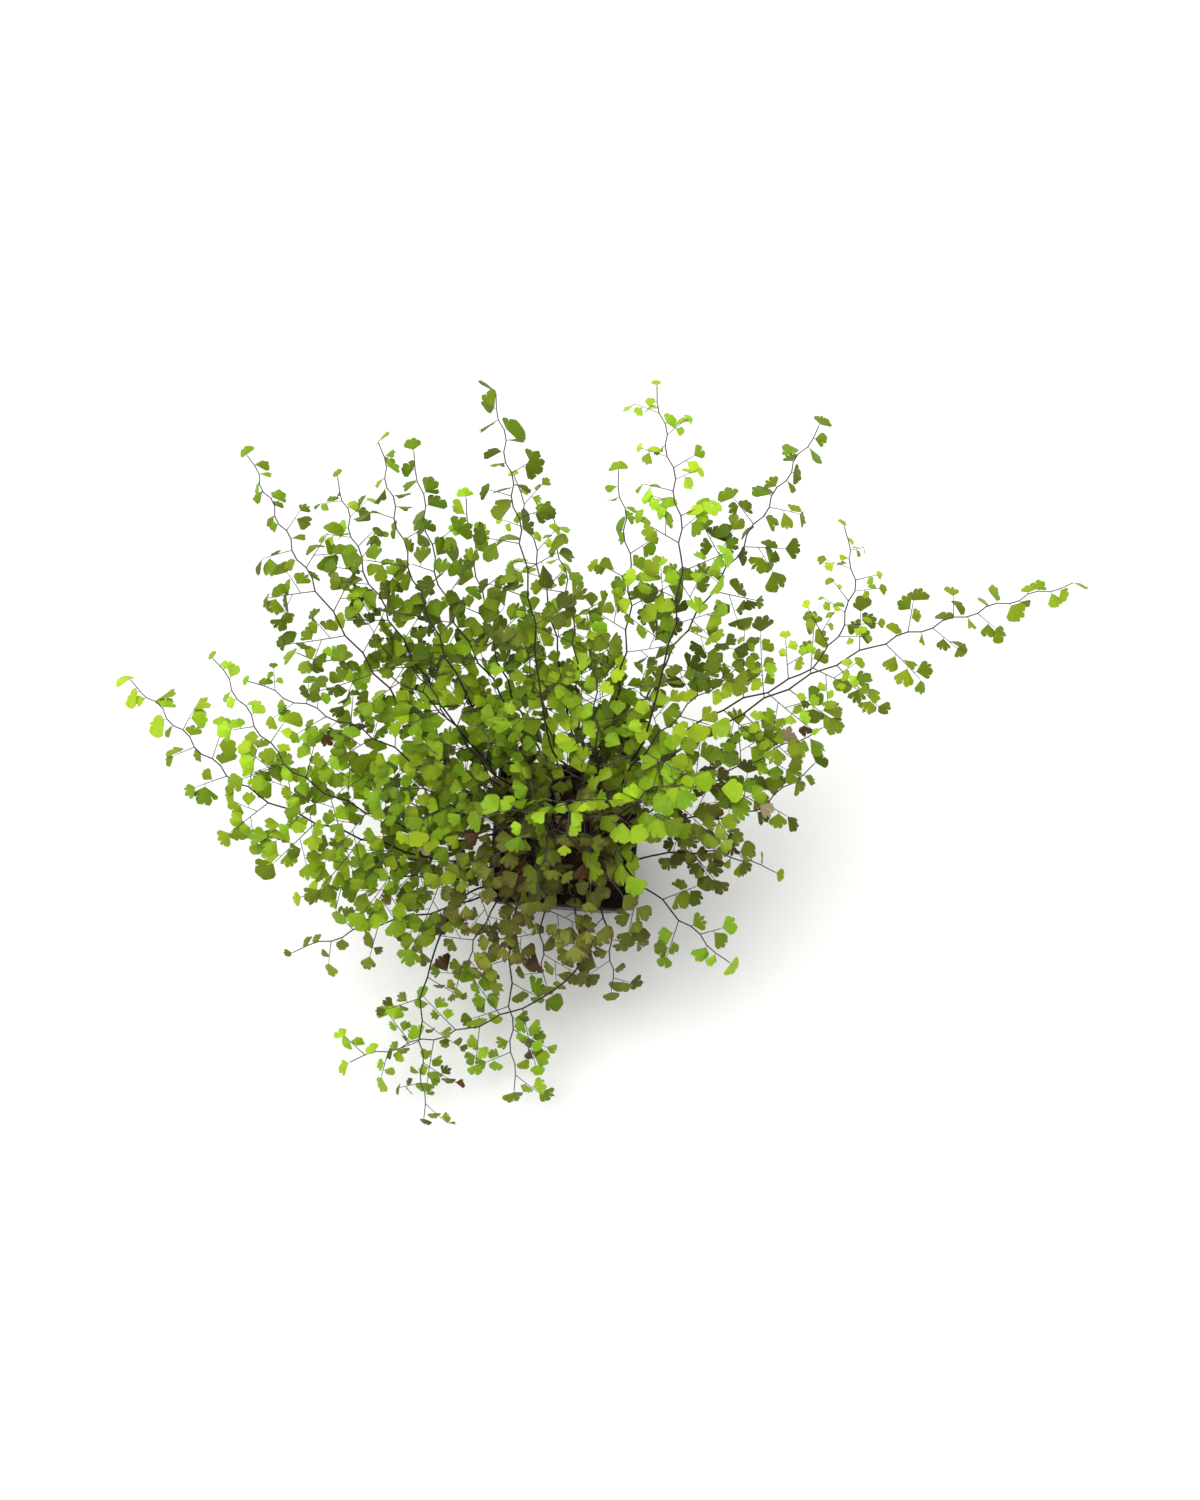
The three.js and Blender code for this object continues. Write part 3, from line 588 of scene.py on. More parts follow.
def ribs_of(f, row, length, at):
    """Ribs of frond number f: where each starts, its directions, its number of leaflets and how
    many of the first of these are small branches instead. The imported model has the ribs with
    whole numbers from 0. Those below 0 stand low on a bushy frond, and those with a half are
    single leaflets between the upper ribs. On a frond that is still unrolling these are
    small branches too."""
    route, bare, most, _, _, age, bushy = row
    taper = lerp(*RIB_TAPER_RANGE, min(1.0, route[-1][2] / HIGH_TIP))
    count = int(np.floor((1 - bare) * length / RIB_SPACING + 0.5))
    between = np.arange(int(SINGLES_FROM * count), count - 1) + 0.5
    k = np.sort(np.concatenate([np.arange(-(bushy // 2), count), between]))
    single = k % 1 > 0
    spread = lerp(*COUNT_RANGE, draw(f, k, DRAW_COUNT))
    wanted = (most + MORE_LEAFLETS) * (1 - taper * np.abs(k) / count) * spread * ~single
    leaflets = np.maximum(1, np.floor(wanted + 0.5)).astype(int)
    share = bare + (1 - bare) * (k + RIB_START) / count
    side = np.where((np.floor(k) + f) % 2 == single, -1.0, 1.0)[:, None]
    angle = lerp(*RIB_ANGLE, k / count) + lerp(*RIB_ANGLE_RANGE, draw(f, k, DRAW_ANGLE))
    angle = np.radians(angle)[:, None]
    tilt = np.radians(lerp(*RIB_TILT_RANGE, draw(f, k, DRAW_TILT)))[:, None]
    place, along, left, normal = at(share)
    outward = left * side * np.cos(tilt) + normal * np.sin(tilt)
    direction = along * np.cos(angle) + outward * np.sin(angle)
    facing = unit(normal - direction * dot(normal, direction))
    branches = np.clip(leaflets - UNBRANCHED, 0, bushy) * (k / count < BRANCHED_SHARE)
    return {
        "share": share,
        "number": k,
        "height": np.maximum(k, 0) / count,
        "side": side[:, 0],
        "start": place + left * side * ZIGZAG,
        "direction": direction,
        "facing": facing,
        "across": np.cross(facing, direction),
        "leaflets": leaflets,
        "branches": np.where(single & (age < UNROLLING_AGE), 1, branches),
    }


length, at = stalk_of(FRONDS[0][0])
print("frond 1 has ribs with", ribs_of(0, FRONDS[0], length, at)["leaflets"].tolist(), "leaflets")

# %% [markdown]
# ## Leaflets along a rod
#
# On a side rib the leaflets stand left and right in turn, and one more ends it. Low on a frond
# the first few are little branches of their own that carry three leaflets by the same rule.
# So one function places leaflets along any set of rods, and is used for ribs and for branches.

# %% Leaflets along rods
LEAFLET_ANGLE = math.radians(60)
RIB_PLACES = (8.0, 4.8)
BRANCH_PLACES, BRANCH_LEAFLETS = (5.5, 4.2), 3


def along_rods(rods, first, spacing):
    """Feet and directions of all leaflets on some rods, each at the first distance and so many
    spacings more, and dropped by the sag times that distance squared."""
    counts = rods["leaflets"]
    rod = np.repeat(np.arange(len(counts)), counts)
    j = np.arange(len(rod)) - np.repeat(np.cumsum(counts) - counts, counts)
    last = j == counts[rod] - 1
    reach = np.where(counts[rod] == 1, 0.0, first + spacing * j)[:, None]
    direction, facing, across = (rods[key][rod] for key in ("direction", "facing", "across"))
    side = np.where(j % 2, 1.0, -1.0)[:, None]
    outward = direction * math.cos(LEAFLET_ANGLE) + across * side * math.sin(LEAFLET_ANGLE)
    return {
        "rod": rod,
        "j": j,
        "last": last,
        "foot": rods["start"][rod] + direction * reach - facing * RIB_SAG * reach**2,
        "axis": np.where(last[:, None], direction, outward),
        "facing": facing,
    }


def branches_at(spots, chosen):
    """Little rods in place of the chosen leaflets."""
    direction, facing = spots["axis"][chosen], spots["facing"][chosen]
    return {
        "start": spots["foot"][chosen],
        "direction": direction,
        "facing": facing,
        "across": np.cross(facing, direction),
        "leaflets": np.full(int(chosen.sum()), BRANCH_LEAFLETS),
    }


print("a branch ends", BRANCH_PLACES[0] + BRANCH_PLACES[1] * (BRANCH_LEAFLETS - 1), "mm out")

# %% [markdown]
# ## How a leaflet is held
#
# A leaflet hangs on a short stalk as thin as hair. It turns to the light, so over the pot most
# leaflets face the sky whatever way their rib runs, and it nods and twists a little by chance.
# Its size, brightness and age come from its frond, its place on it, and chance, and low in the crown its
# brightness is lowered as painted shade.

# %% Pose of a leaflet
NOD_RANGE, SIZE_RANGE = (-2, 30), (0.74, 1.22)
HIGH_DROOP, HIGH_FROM, HIGH_DEPTH = 22.0, 195.0, 35.0
LIGHT_PULL, TURN_WITHOUT_PULL, TIP_PULL_LOSS = 0.9, 60.0, 0.6
FLATTENING = 0.55
GROWN, YOUNGEST_SIZE, GROWN_AGE = 1.18, 0.6, 0.15
OLD_SHRINK, SHRINK_FROM, SHRINK_SPAN = 0.14, 0.7, 0.05
AGE_SPAN, YOUNG_SPAN, MIDDLE_HEIGHT = 0.4, 0.15, 0.4
SHADE_RADIUS, SHADE_TOP, SHADE_DEPTH = 110.0, 168.0, 40.0
SHADE_AGE, PAINTED_SHADE_DARKENING = 1.1, 0.5
WITHERED_AGE, WITHERED_RANGE, WITHERING_FROM = 1.4, (0.004, 0.1), 0.5
OWN_SHARE = 0.62
SEED_PER_FROND, SEED_PER_RIB = 57.0, 3.0
DRAW_NOD, DRAW_SIZE, DRAW_TONE, DRAW_WITHER, DRAW_TINT = 20, 40, 60, 80, 90
DRAW_FROND_TONE, DRAW_FROND_TINT = (168, 9), (230, 9)


def ramp(value, start, span):
    """0 up to the start, then a straight line that reaches 1 after the span."""
    return np.clip((value - start) / span, 0, 1)


def posed(f, row, spots, rib, place, height):
    """Leaflets at these spots: pulled to the light, then turned about their own length, then
    nodding. The rib's number and the place on it choose the chance numbers. Brightness and
    tint are drawn partly for the whole frond. Leaflets low on the frond are older, and those
    in the shade of the crown too, and near a young frond's tip they are still small. Those low
    over the pot also get painted shade: their brightness drops the deeper they sit under the
    crown. High up they droop more, but for those at the tip."""
    _, _, _, leaf, turn, age, _ = row
    foot = spots["foot"]
    out, up = np.hypot(*foot[:, :2].T), foot[:, 2]
    high = ramp(up, HIGH_FROM, HIGH_DEPTH)
    # How deep a leaflet sits under the crown, near the middle and low down: it ages the leaflet, and it
    # darkens the leaflet as painted shade.
    shade = np.clip(1 - out / SHADE_RADIUS, 0, 1) * np.clip((SHADE_TOP - up) / SHADE_DEPTH, 0, 1)

    pull = LIGHT_PULL * max(0.0, 1 - turn / TURN_WITHOUT_PULL)
    pull = pull * (1 - TIP_PULL_LOSS * height**2)[:, None]
    axis = unit(spots["axis"] * (1 - FLATTENING * pull * UP))
    facing = spots["facing"] + UP * pull
    facing = unit(facing - axis * dot(facing, axis))
    turning = np.radians(lerp(-turn, turn, draw(f, rib, place)))[:, None]
    normal = turned(facing, axis, turning)
    nod = lerp(*NOD_RANGE, draw(f, rib, place + DRAW_NOD)) + HIGH_DROOP * high * (1 - height**2)
    nod = np.radians(nod)[:, None]

    lower = MIDDLE_HEIGHT - height
    grown = GROWN * lerp(YOUNGEST_SIZE, 1.0, ramp(age + YOUNG_SPAN * lower, 0.0, GROWN_AGE))
    grown = grown * (1 - OLD_SHRINK * ramp(age, SHRINK_FROM, SHRINK_SPAN))
    own_age = np.clip(age + AGE_SPAN * lower + SHADE_AGE * shade, 0.0, 1.0)
    chance = lerp(*WITHERED_RANGE, ramp(age, WITHERING_FROM, 1 - WITHERING_FROM)) * (1 - high)
    withered = draw(f, rib, place + DRAW_WITHER) < chance
    tone = lerp(draw(f, *DRAW_FROND_TONE), draw(f, rib, place + DRAW_TONE), OWN_SHARE)
    tint = lerp(draw(f, *DRAW_FROND_TINT), draw(f, rib, place + DRAW_TINT), OWN_SHARE)
    return {
        "foot": foot,
        "axis": axis * np.cos(nod) - normal * np.sin(nod),
        "normal": normal * np.cos(nod) + axis * np.sin(nod),
        "radius": leaf * grown * lerp(*SIZE_RANGE, draw(f, rib, place + DRAW_SIZE)),
        # Painted shade: the brightness drops with the depth under the crown.
        "tone": tone * (1 - PAINTED_SHADE_DARKENING * shade),
        "tint": tint,
        "age": np.where(withered, WITHERED_AGE, own_age),
        "seed": f * SEED_PER_FROND + rib * SEED_PER_RIB + place,
    }


print("leaflets have radii of", SIZE_RANGE[0], "to", SIZE_RANGE[1], "times their frond's own")

# %% [markdown]
# ## All leaflets of a frond
#
# The ribs carry leaflets and branches, the branches carry leaflets, and one leaflet ends the
# frond. Each needs place numbers of its own, so that no two leaflets share their chance.

# %% A frond's leaflets
END_PLACE = 19
BRANCH_PLACE, PLACES_PER_BRANCH = 100, 10
TIP_RIB = 99


def leaflets_of(f, row, ribs, at):
    """All leaflets of frond number f, its branches, and the leaflet that ends the frond."""
    spots = along_rods(ribs, *RIB_PLACES)
    branched = spots["j"] < ribs["branches"][spots["rod"]]
    plain = {key: value[~branched] for key, value in spots.items()}
    rib = plain["rod"]
    place = np.where(plain["last"], END_PLACE, plain["j"])
    on_ribs = posed(f, row, plain, ribs["number"][rib], place, ribs["height"][rib])

    branches = branches_at(spots, branched)
    twigs = along_rods(branches, *BRANCH_PLACES)
    rib, j = spots["rod"][branched][twigs["rod"]], spots["j"][branched][twigs["rod"]]
    place = BRANCH_PLACE + PLACES_PER_BRANCH * j + twigs["j"]
    on_branches = posed(f, row, twigs, ribs["number"][rib], place, ribs["height"][rib])

    tip, along, _, leaf_side = at([1.0])
    last = {"foot": tip, "axis": along, "facing": leaf_side}
    at_tip = posed(f, row, last, np.array([TIP_RIB]), np.array([0]), np.array([1.0]))
    parts = (on_ribs, on_branches, at_tip)
    return {key: np.concatenate([part[key] for part in parts]) for key in at_tip}, branches


sample = leaflets_of(0, FRONDS[0], ribs_of(0, FRONDS[0], length, at), at)[0]
print("frond 1 has", len(sample["radius"]), "leaflets")

# %% [markdown]
# ## The blade of a leaflet
#
# A leaflet is a wedge that opens into a fan wider than it is long. Its sides are straight, its
# corners round, and a few narrow cuts part its outer edge into rounded lobes. One modelled
# leaflet, copied, would look the same everywhere. As an array each leaflet has its own
# opening, cuts, cup and wave at no cost: the copies are just one more axis.

# %% Outline of a blade
LOBE_POINTS = np.array([[0, 0.4, 1], [0, 0.5, 1], [0, 0.5, 1], [0, 0.6, 1]], float)
LOBE_ROUNDING, LOBE_POWER = 0.4, 4
CUT_PLACES, CUT_SHIFT, CUT_HALF = np.array([-0.5, 0.0, 0.5]), 0.13, 0.04
CUT_RANGE, CUT_POWER = (0.04, 0.4), 1.3
CUT_DEEPENING = (1.2, 1.65)
CORNER_ROUNDING, CORNER_POWER = 0.3, 4
SKEW_RANGE = (-0.12, 0.12)
FAN_COLUMNS = LOBE_POINTS.size + len(CUT_PLACES)


def in_turn(lobes, cuts):
    """For each blade, the first lobe's values, the first cut's, the second lobe's, and so on."""
    paired = np.concatenate([lobes[:, :-1], cuts[..., None]], axis=2)
    return np.concatenate([paired.reshape(len(paired), -1), lobes[:, -1]], axis=1)


def fan_edges(seed, age):
    """For each blade, the places of its columns across the fan, from -1 to 1, and how far out
    its edge lies at each. A cut is one column that lies deeper than its two close neighbours,
    and the more so the older the leaflet is. A lobe falls off to its cuts with the fourth
    power of the way across it, and the fan to its corners in the same way."""
    seed = seed[:, None]
    cuts = CUT_PLACES + CUT_SHIFT * lerp(-1, 1, draw(seed, CUT_PLACES * 9, 5))
    depth = lerp(*CUT_RANGE, draw(seed, CUT_PLACES * 7, 3) ** CUT_POWER)
    depth = depth * lerp(*CUT_DEEPENING, np.clip(age, 0.0, 1.0)[:, None])
    one, none = np.ones_like(seed), np.zeros_like(seed)
    low = np.concatenate([-one, cuts + CUT_HALF], axis=1)[..., None]
    high = np.concatenate([cuts - CUT_HALF, one], axis=1)[..., None]
    drop_low = np.concatenate([none, depth], axis=1)[..., None] * (1 - LOBE_POINTS) ** LOBE_POWER
    drop_high = np.concatenate([depth, none], axis=1)[..., None] * LOBE_POINTS**LOBE_POWER
    a = in_turn(lerp(low, high, LOBE_POINTS), cuts)
    edge = in_turn(1 - LOBE_ROUNDING * (drop_low + drop_high), 1 - depth)
    skew = lerp(*SKEW_RANGE, draw(seed, 6, 4))
    return a, edge * (1 - CORNER_ROUNDING * a**CORNER_POWER) * (1 + skew * a)


print("a blade has", FAN_COLUMNS, "columns")

# %% [markdown]
# The blade is thin but solid: the outline filled with a grid, the same grid a little below it,
# and a wall round the rim. It is a shallow wavy cone, because a leaflet's veins run straight
# from its foot and a blade bends only across them.

# %% Leaflet blades
FAN_ROWS = np.array([0.05, 1.0])
FAN_HALF_RANGE = (40, 67)
CUP_RANGE, CURL_RANGE, WAVE_RANGE = (0.05, 0.55), (-0.03, 0.32), (0.0, 0.045)
HALF_WAVES = 3.5
CRUMPLED_CUP, CRUMPLED_WAVE = 1.6, 0.3
HAIR_SHARE = 0.12
BLADE_HALF = 0.11


def blade_template():
    """Faces of one thin closed blade: a top grid, the same grid below facing the other way, and
    walls from one to the other all the way round."""
    rows, columns = len(FAN_ROWS), FAN_COLUMNS
    top = grid_faces(rows, columns)
    number = np.arange(rows * columns).reshape(rows, columns)
    border = np.concatenate([number[:-1, 0], number[-1, :-1], number[:0:-1, -1], number[0, :0:-1]])
    after = np.roll(border, -1)
    below = rows * columns
    walls = np.stack([border, border + below, after + below, after], axis=1)
    return np.concatenate([top, top[:, ::-1] + below, walls])


def blades(leaflets):
    """Blades as thin shells. A point at share s from foot to edge and place a across lies at
    angle a times the half opening and at s times the edge's reach there. Every line from foot
    to edge is straight. It falls by the curl and by the cup times the squared sine of its
    angle, and rises and falls with a sine of a. Withered blades are crumpled."""
    axis, normal, seed = leaflets["axis"], leaflets["normal"], leaflets["seed"]
    a, edge = (values[:, None, :] for values in fan_edges(seed, leaflets["age"]))
    opening, cup, curl, wave, start = (draw(seed, key, 4)[:, None, None] for key in range(1, 6))
    crumpled = np.clip(leaflets["age"] - 1.0, 0.0, 1.0)[:, None, None]
    cup = lerp(*CUP_RANGE, cup) + CRUMPLED_CUP * crumpled
    curl = lerp(*CURL_RANGE, curl)
    wave = lerp(*WAVE_RANGE, wave) + CRUMPLED_WAVE * crumpled
    ripple = np.sin(HALF_WAVES * np.pi * a / 2 + start * 2 * np.pi)
    angle = a * np.radians(lerp(*FAN_HALF_RANGE, opening))
    s = FAN_ROWS[None, :, None]
    reach = s * edge * (1 - HAIR_SHARE)
    x = HAIR_SHARE + reach * np.cos(angle)
    y = reach * np.sin(angle)
    z = reach * (wave * ripple - curl - cup * np.sin(angle) ** 2)
    ways = zip((axis, np.cross(normal, axis), normal), (x, y, z))
    offset = sum(way[:, None, None] * amount[..., None] for way, amount in ways)
    middle = leaflets["foot"][:, None, None] + leaflets["radius"][:, None, None, None] * offset
    lift = normal[:, None, None, None] * BLADE_HALF * np.array([1, -1])[:, None, None, None]
    shape = (len(seed), 2, len(FAN_ROWS), FAN_COLUMNS)
    flat = (np.broadcast_to(s[:, None], shape), np.broadcast_to(a[:, None] / 2 + 0.5, shape))
    under = np.broadcast_to(np.array([0.0, 1.0])[None, :, None, None], shape).ravel()
    each = 2 * len(FAN_ROWS) * FAN_COLUMNS
    faces = copies(blade_template(), len(seed), each)
    numbers = {key: np.repeat(leaflets[key], each) for key in ("tone", "tint", "age")}
    return shell(middle[:, None] + lift, faces, np.stack(flat, axis=-1), under=under, **numbers)


print("one blade has", len(blade_template()), "faces")

# %% [markdown]
# ## A frond's rods
#
# The stalk, the side ribs and the leaflets' own stalks are all round rods of a few sides, each
# drawn along its path. The stalk bends a little to and fro, a step at each rib, which gives a
# maidenhair its zigzag look.

# %% Stalks, ribs and hairs
STALK_RADIUS, STALK_SIDES = (0.75, 0.32), 8
STALK_FOOT, STALK_RING_SPACING, STRAIGHT_SHARE = 10.0, 5.0, 0.6
RIB_RADIUS, RIB_RINGS = (0.32, 0.22), 5
BRANCH_RADIUS, BRANCH_RINGS = (0.24, 0.18), 3
HAIR_RADIUS, HAIR_INSIDE = (0.18, 0.14), 0.1
THIN_SIDES = 4
RIB_THINNESS, HAIR_THINNESS = 0.9, 1.0
# The place of the stalk's finish among a frond's two.
ROD_FINISH = 1


def stalk_rod(ribs, length, at, redness):
    """The stalk from below the soil to the tip, with a ring at each rib and every few
    millimetres between, moved sideways in a straight line from one rib's bend to the next."""
    even = np.linspace(0, 1, int(length / STALK_RING_SPACING) + 2)
    shares = np.unique(np.concatenate([even, ribs["share"]]))
    place, _, left, normal = at(shares)
    knots = np.concatenate([[0, ribs["share"][0] * STRAIGHT_SHARE], ribs["share"], [1]])
    bends = np.concatenate([[0, 0], ribs["side"] * ZIGZAG, [0]])
    place = place + left * np.interp(shares, knots, bends)[:, None]
    path = np.vstack([place[:1] - UP * STALK_FOOT, place])[None]
    ways = (np.vstack([way[:1], way])[None] for way in (left, normal))
    thin = np.concatenate([[0], shares])
    radii = lerp(*STALK_RADIUS, thin)
    return tubes(path, *ways, radii, STALK_SIDES, ROD_FINISH, thin=thin, tone=redness)


def carrier_rods(rods, first, spacing, radii, rings, redness):
    """One thin rod along each rib or branch, as far as its end leaflet."""
    many = rods["leaflets"] > 1
    keys = ("start", "direction", "facing", "across")
    start, direction, facing, across = (rods[key][many][:, None] for key in keys)
    reach = first + spacing * (rods["leaflets"][many] - 1)
    x = reach[:, None, None] * np.linspace(0, 1, rings)[None, :, None]
    path = start + direction * x - facing * RIB_SAG * x**2
    numbers = {"thin": RIB_THINNESS, "tone": redness}
    return tubes(path, across, facing, np.linspace(*radii, rings), THIN_SIDES, ROD_FINISH, **numbers)


def hair_rods(leaflets, redness):
    """The leaflets' own stalks, from the rib to just inside the foot of the blade."""
    foot, axis, normal = (leaflets[key][:, None] for key in ("foot", "axis", "normal"))
    gap = (HAIR_SHARE + HAIR_INSIDE) * leaflets["radius"][:, None, None]
    path = foot + axis * gap * np.array([0.0, 1.0])[None, :, None]
    numbers = {"thin": HAIR_THINNESS, "tone": redness}
    return tubes(path, np.cross(normal, axis), normal, HAIR_RADIUS, THIN_SIDES, ROD_FINISH, **numbers)


print("a stalk is", 2 * STALK_RADIUS[0], "mm thick at the soil and", 2 * STALK_RADIUS[1], "at its tip")

# %% [markdown]
# ## The fronds
#
# A frond grew as one piece, so its blades and rods are one mesh with two finishes. It takes the
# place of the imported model's plain frond of the same number.

# %% Fronds
DRAW_REDNESS = (1, 9)


def frond_shell(f, row):
    """All of frond number f as one shell, and its number of leaflets."""
    length, at = stalk_of(row[0])
    ribs = ribs_of(f, row, length, at)
    leaflets, branches = leaflets_of(f, row, ribs, at)
    redness = draw(f, *DRAW_REDNESS)
    parts = [
        blades(leaflets),
        stalk_rod(ribs, length, at, redness),
        carrier_rods(ribs, *RIB_PLACES, RIB_RADIUS, RIB_RINGS, redness),
        hair_rods(leaflets, redness),
    ]
    if len(branches["leaflets"]):
        parts.append(carrier_rods(branches, *BRANCH_PLACES, BRANCH_RADIUS, BRANCH_RINGS, redness))
    return joined(parts), len(leaflets["radius"])


leaflet_total = 0
triangle_total = 0
for f, row in enumerate(FRONDS):
    name = f"frond_{f + 1:02d}"
    made, leaflet_count = frond_shell(f, row)
    piece(name + "_fine", made, [LEAFLET_FINISH, STALK_FINISH], name)
    leaflet_total += leaflet_count
    triangle_total += 2 * len(made["faces"])
print("leaflets:", leaflet_total, "triangles:", triangle_total)

# %% [markdown]
# ## The pot's outlines
#
# The pot is the thin black kind that nurseries grow plants in: blown from polypropylene, square
# with round corners, a little wider at the top, with a stiff turned-out lip and four drain
# holes. A solid could be hollowed by cutting. Here its wall is a profile, a line that runs up
# the outside, over the lip and down the inside, with every bend rounded, and the profile is
# carried round a square with round corners.

# %% Square outlines and rounded profiles
SIDE_STEPS, CORNER_STEPS, BEND_STEPS = 6, 8, 4


def quarter_outlines(halves, corners):
    """A quarter of a square outline with a round corner, from the middle of the +X side to the
    middle of the +Y side, for each of several sizes: straight, a quarter circle, straight."""
    h, c = np.asarray(halves, float)[:, None], np.asarray(corners, float)[:, None]
    t = np.linspace(0, 1, SIDE_STEPS + 1)[None]
    turn = np.linspace(0, np.pi / 2, CORNER_STEPS + 1)[None, 1:]
    x = np.concatenate([h + 0 * t, h - c + c * np.cos(turn), (h - c) * (1 - t[:, 1:])], axis=1)
    y = np.concatenate([(h - c) * t, h - c + c * np.sin(turn), h + 0 * t[:, 1:]], axis=1)
    return np.stack([x, y], axis=-1)


def four_times(points):
    """The points turned by 0, 90, 180 and 270 degrees about the upright axis."""
    x, y = points[..., 0], points[..., 1]
    turns = [(x, y), (-y, x), (-x, -y), (y, -x)]
    return [np.concatenate([np.stack(turn, axis=-1), points[..., 2:]], axis=-1) for turn in turns]


def square_loops(halves, corners, heights):
    """Closed square outlines at several heights, each starting in the middle of the +X side."""
    quarters = four_times(quarter_outlines(halves, corners)[:, :-1])
    flat = np.concatenate(quarters, axis=1)
    z = np.broadcast_to(np.asarray(heights, float)[:, None, None], flat.shape[:2] + (1,))
    return np.concatenate([flat, z], axis=-1)


def rounded_profile(corners):
    """A line through corners (x, z, radius) with each inner corner P replaced by the curve
    (1 - t) squared A + 2 t (1 - t) P + t squared B, where A and B lie a radius off P."""
    corners = np.array(corners, float)
    p, radius = corners[1:-1, :2], corners[1:-1, 2:]
    a = p + unit(corners[:-2, :2] - p) * radius
    b = p + unit(corners[2:, :2] - p) * radius
    t = np.linspace(0, 1, BEND_STEPS + 1)[None, :, None]
    curves = (1 - t) ** 2 * a[:, None] + 2 * t * (1 - t) * p[:, None] + t**2 * b[:, None]
    return np.vstack([corners[:1, :2], curves.reshape(-1, 2), corners[-1:, :2]])


print("a bend has", BEND_STEPS + 1, "points")

# %% [markdown]
# ## The pot's plastic
#
# Black polypropylene comes out of the mould even and satin. Its grain is really about a tenth
# of a millimetre, and is drawn coarser so that it shows. Use scuffs the plastic in patches,
# which are lighter and duller, and dust from the soil stays in them. An image could hold the
# scuffs, but noises of a real size have no seams and are as fine close up as far away.

# %% Pot plastic
POT_BLACK = linear(0x121316)
POT_SCUFFED = linear(0x222326)
SOIL_DUST = linear(0x4A3A2C)
POT_ROUGHNESS, SCUFFED_ROUGHNESS, PLASTIC_IOR = 0.42, 0.62, 1.49
MOULD_GRAIN, SCUFF_SIZE, DUST_SIZE = 0.6 * MM, 14.0 * MM, 1.6 * MM


def pot_finish():
    """Black polypropylene: even and satin, scuffed in patches, with dust from the soil."""
    material, tree, skin, _ = finish_of("black_polypropylene")
    where = add(tree, "TexCoord", out="Object")
    grain = add(tree, "TexNoise", {"Vector": where, "Scale": 1 / MOULD_GRAIN})
    scuff = add(tree, "TexNoise", {"Vector": where, "Scale": 1 / SCUFF_SIZE, "Detail": 6.0})
    dust = add(tree, "TexNoise", {"Vector": where, "Scale": 1 / DUST_SIZE, "Detail": 4.0})
    worn = add(tree, "MapRange", {"Value": scuff, "From Min": 0.48, "From Max": 0.75})
    specks = add(tree, "MapRange", {"Value": dust, "From Min": 0.6, "From Max": 0.72, "To Max": 0.7})
    dusty = add(tree, "Math", {0: specks, 1: worn}, operation="MULTIPLY")
    plastic = POT_BLACK
    for share, colour in ((worn, POT_SCUFFED), (dusty, SOIL_DUST)):
        plastic = add(tree, "Mix", {SHARE: share, FROM: plastic, TO: colour}, MIXED, data_type="RGBA")
    rough = add(tree, "MapRange", {"Value": worn, "To Min": POT_ROUGHNESS, "To Max": SCUFFED_ROUGHNESS})
    bump = add(tree, "Bump", {"Height": grain, "Strength": 0.2, "Distance": 0.05 * MM})
    feed(tree, skin, {"Base Color": plastic, "Roughness": rough, "Normal": bump, "IOR": PLASTIC_IOR})
    return material


POT_FINISH = pot_finish()
print("pot finish:", len(POT_FINISH.node_tree.nodes), "nodes")

# %% [markdown]
# ## The pot
#
# The profile's corners are the measures of a common 9 cm nursery pot. The floor is four
# quarters, each a ring of faces between its drain hole and its own outline, so the holes need
# no cutting either.

# %% Pot
POT_HEIGHT, POT_WALL = 80.0, 1.2
BASE_HALF, NECK_HALF, LIP_HALF = 34.5, 42.8, 45.0
LIP_BOTTOM = 71.0
FOOT_CHAMFER = 1.0
BASE_CORNER, LIP_CORNER = 5.0, 7.0
DRAIN_RADIUS, DRAIN_OFFSET, FLOOR_RINGS = 4.0, 19.0, 4
INNER_FLOOR_HALF = BASE_HALF - POT_WALL - FOOT_CHAMFER
POT_SHARP_ANGLE = math.radians(40)
# The profile's corners: half width, height and the radius of the bend.
POT_PROFILE = [
    (BASE_HALF - FOOT_CHAMFER, 0, 0),
    (BASE_HALF, 0.2, 0.9),
    (NECK_HALF, LIP_BOTTOM, 0.4),
    (LIP_HALF, LIP_BOTTOM, 0.5),
    (LIP_HALF, POT_HEIGHT, 0.8),
    (NECK_HALF, POT_HEIGHT, 0.8),
    (NECK_HALF, LIP_BOTTOM + POT_WALL, 0.5),
    (NECK_HALF - POT_WALL, LIP_BOTTOM, 0.5),
    (BASE_HALF - POT_WALL, POT_WALL, 1.0),
    (INNER_FLOOR_HALF, POT_WALL, 0),
]


def pot_corner(half, height):
    """Corner radius that keeps the wall's thickness even: the outer one less the step inwards."""
    outer = lerp(BASE_HALF, NECK_HALF, height / LIP_BOTTOM)
    return lerp(BASE_CORNER, LIP_CORNER, height / POT_HEIGHT) + half - outer


def floor_quarters(half, height):
    """Rings of points between each drain hole and the outline of its quarter of the floor."""
    outline = quarter_outlines([half], [pot_corner(half, height)])[0]
    steps = np.linspace(1, 0, SIDE_STEPS + 1)[1:, None] * half
    down = steps * [0.0, 1.0]
    out = (half - steps[:-1]) * [1.0, 0.0]
    around = np.vstack([outline, down, out])
    centre = np.full(2, DRAIN_OFFSET)
    circle = centre + DRAIN_RADIUS * unit(around - centre)
    rings = lerp(circle[None], around[None], np.linspace(0, 1, FLOOR_RINGS)[:, None, None])
    z = np.full(rings.shape[:2] + (1,), height)
    return four_times(np.concatenate([rings, z], axis=-1))


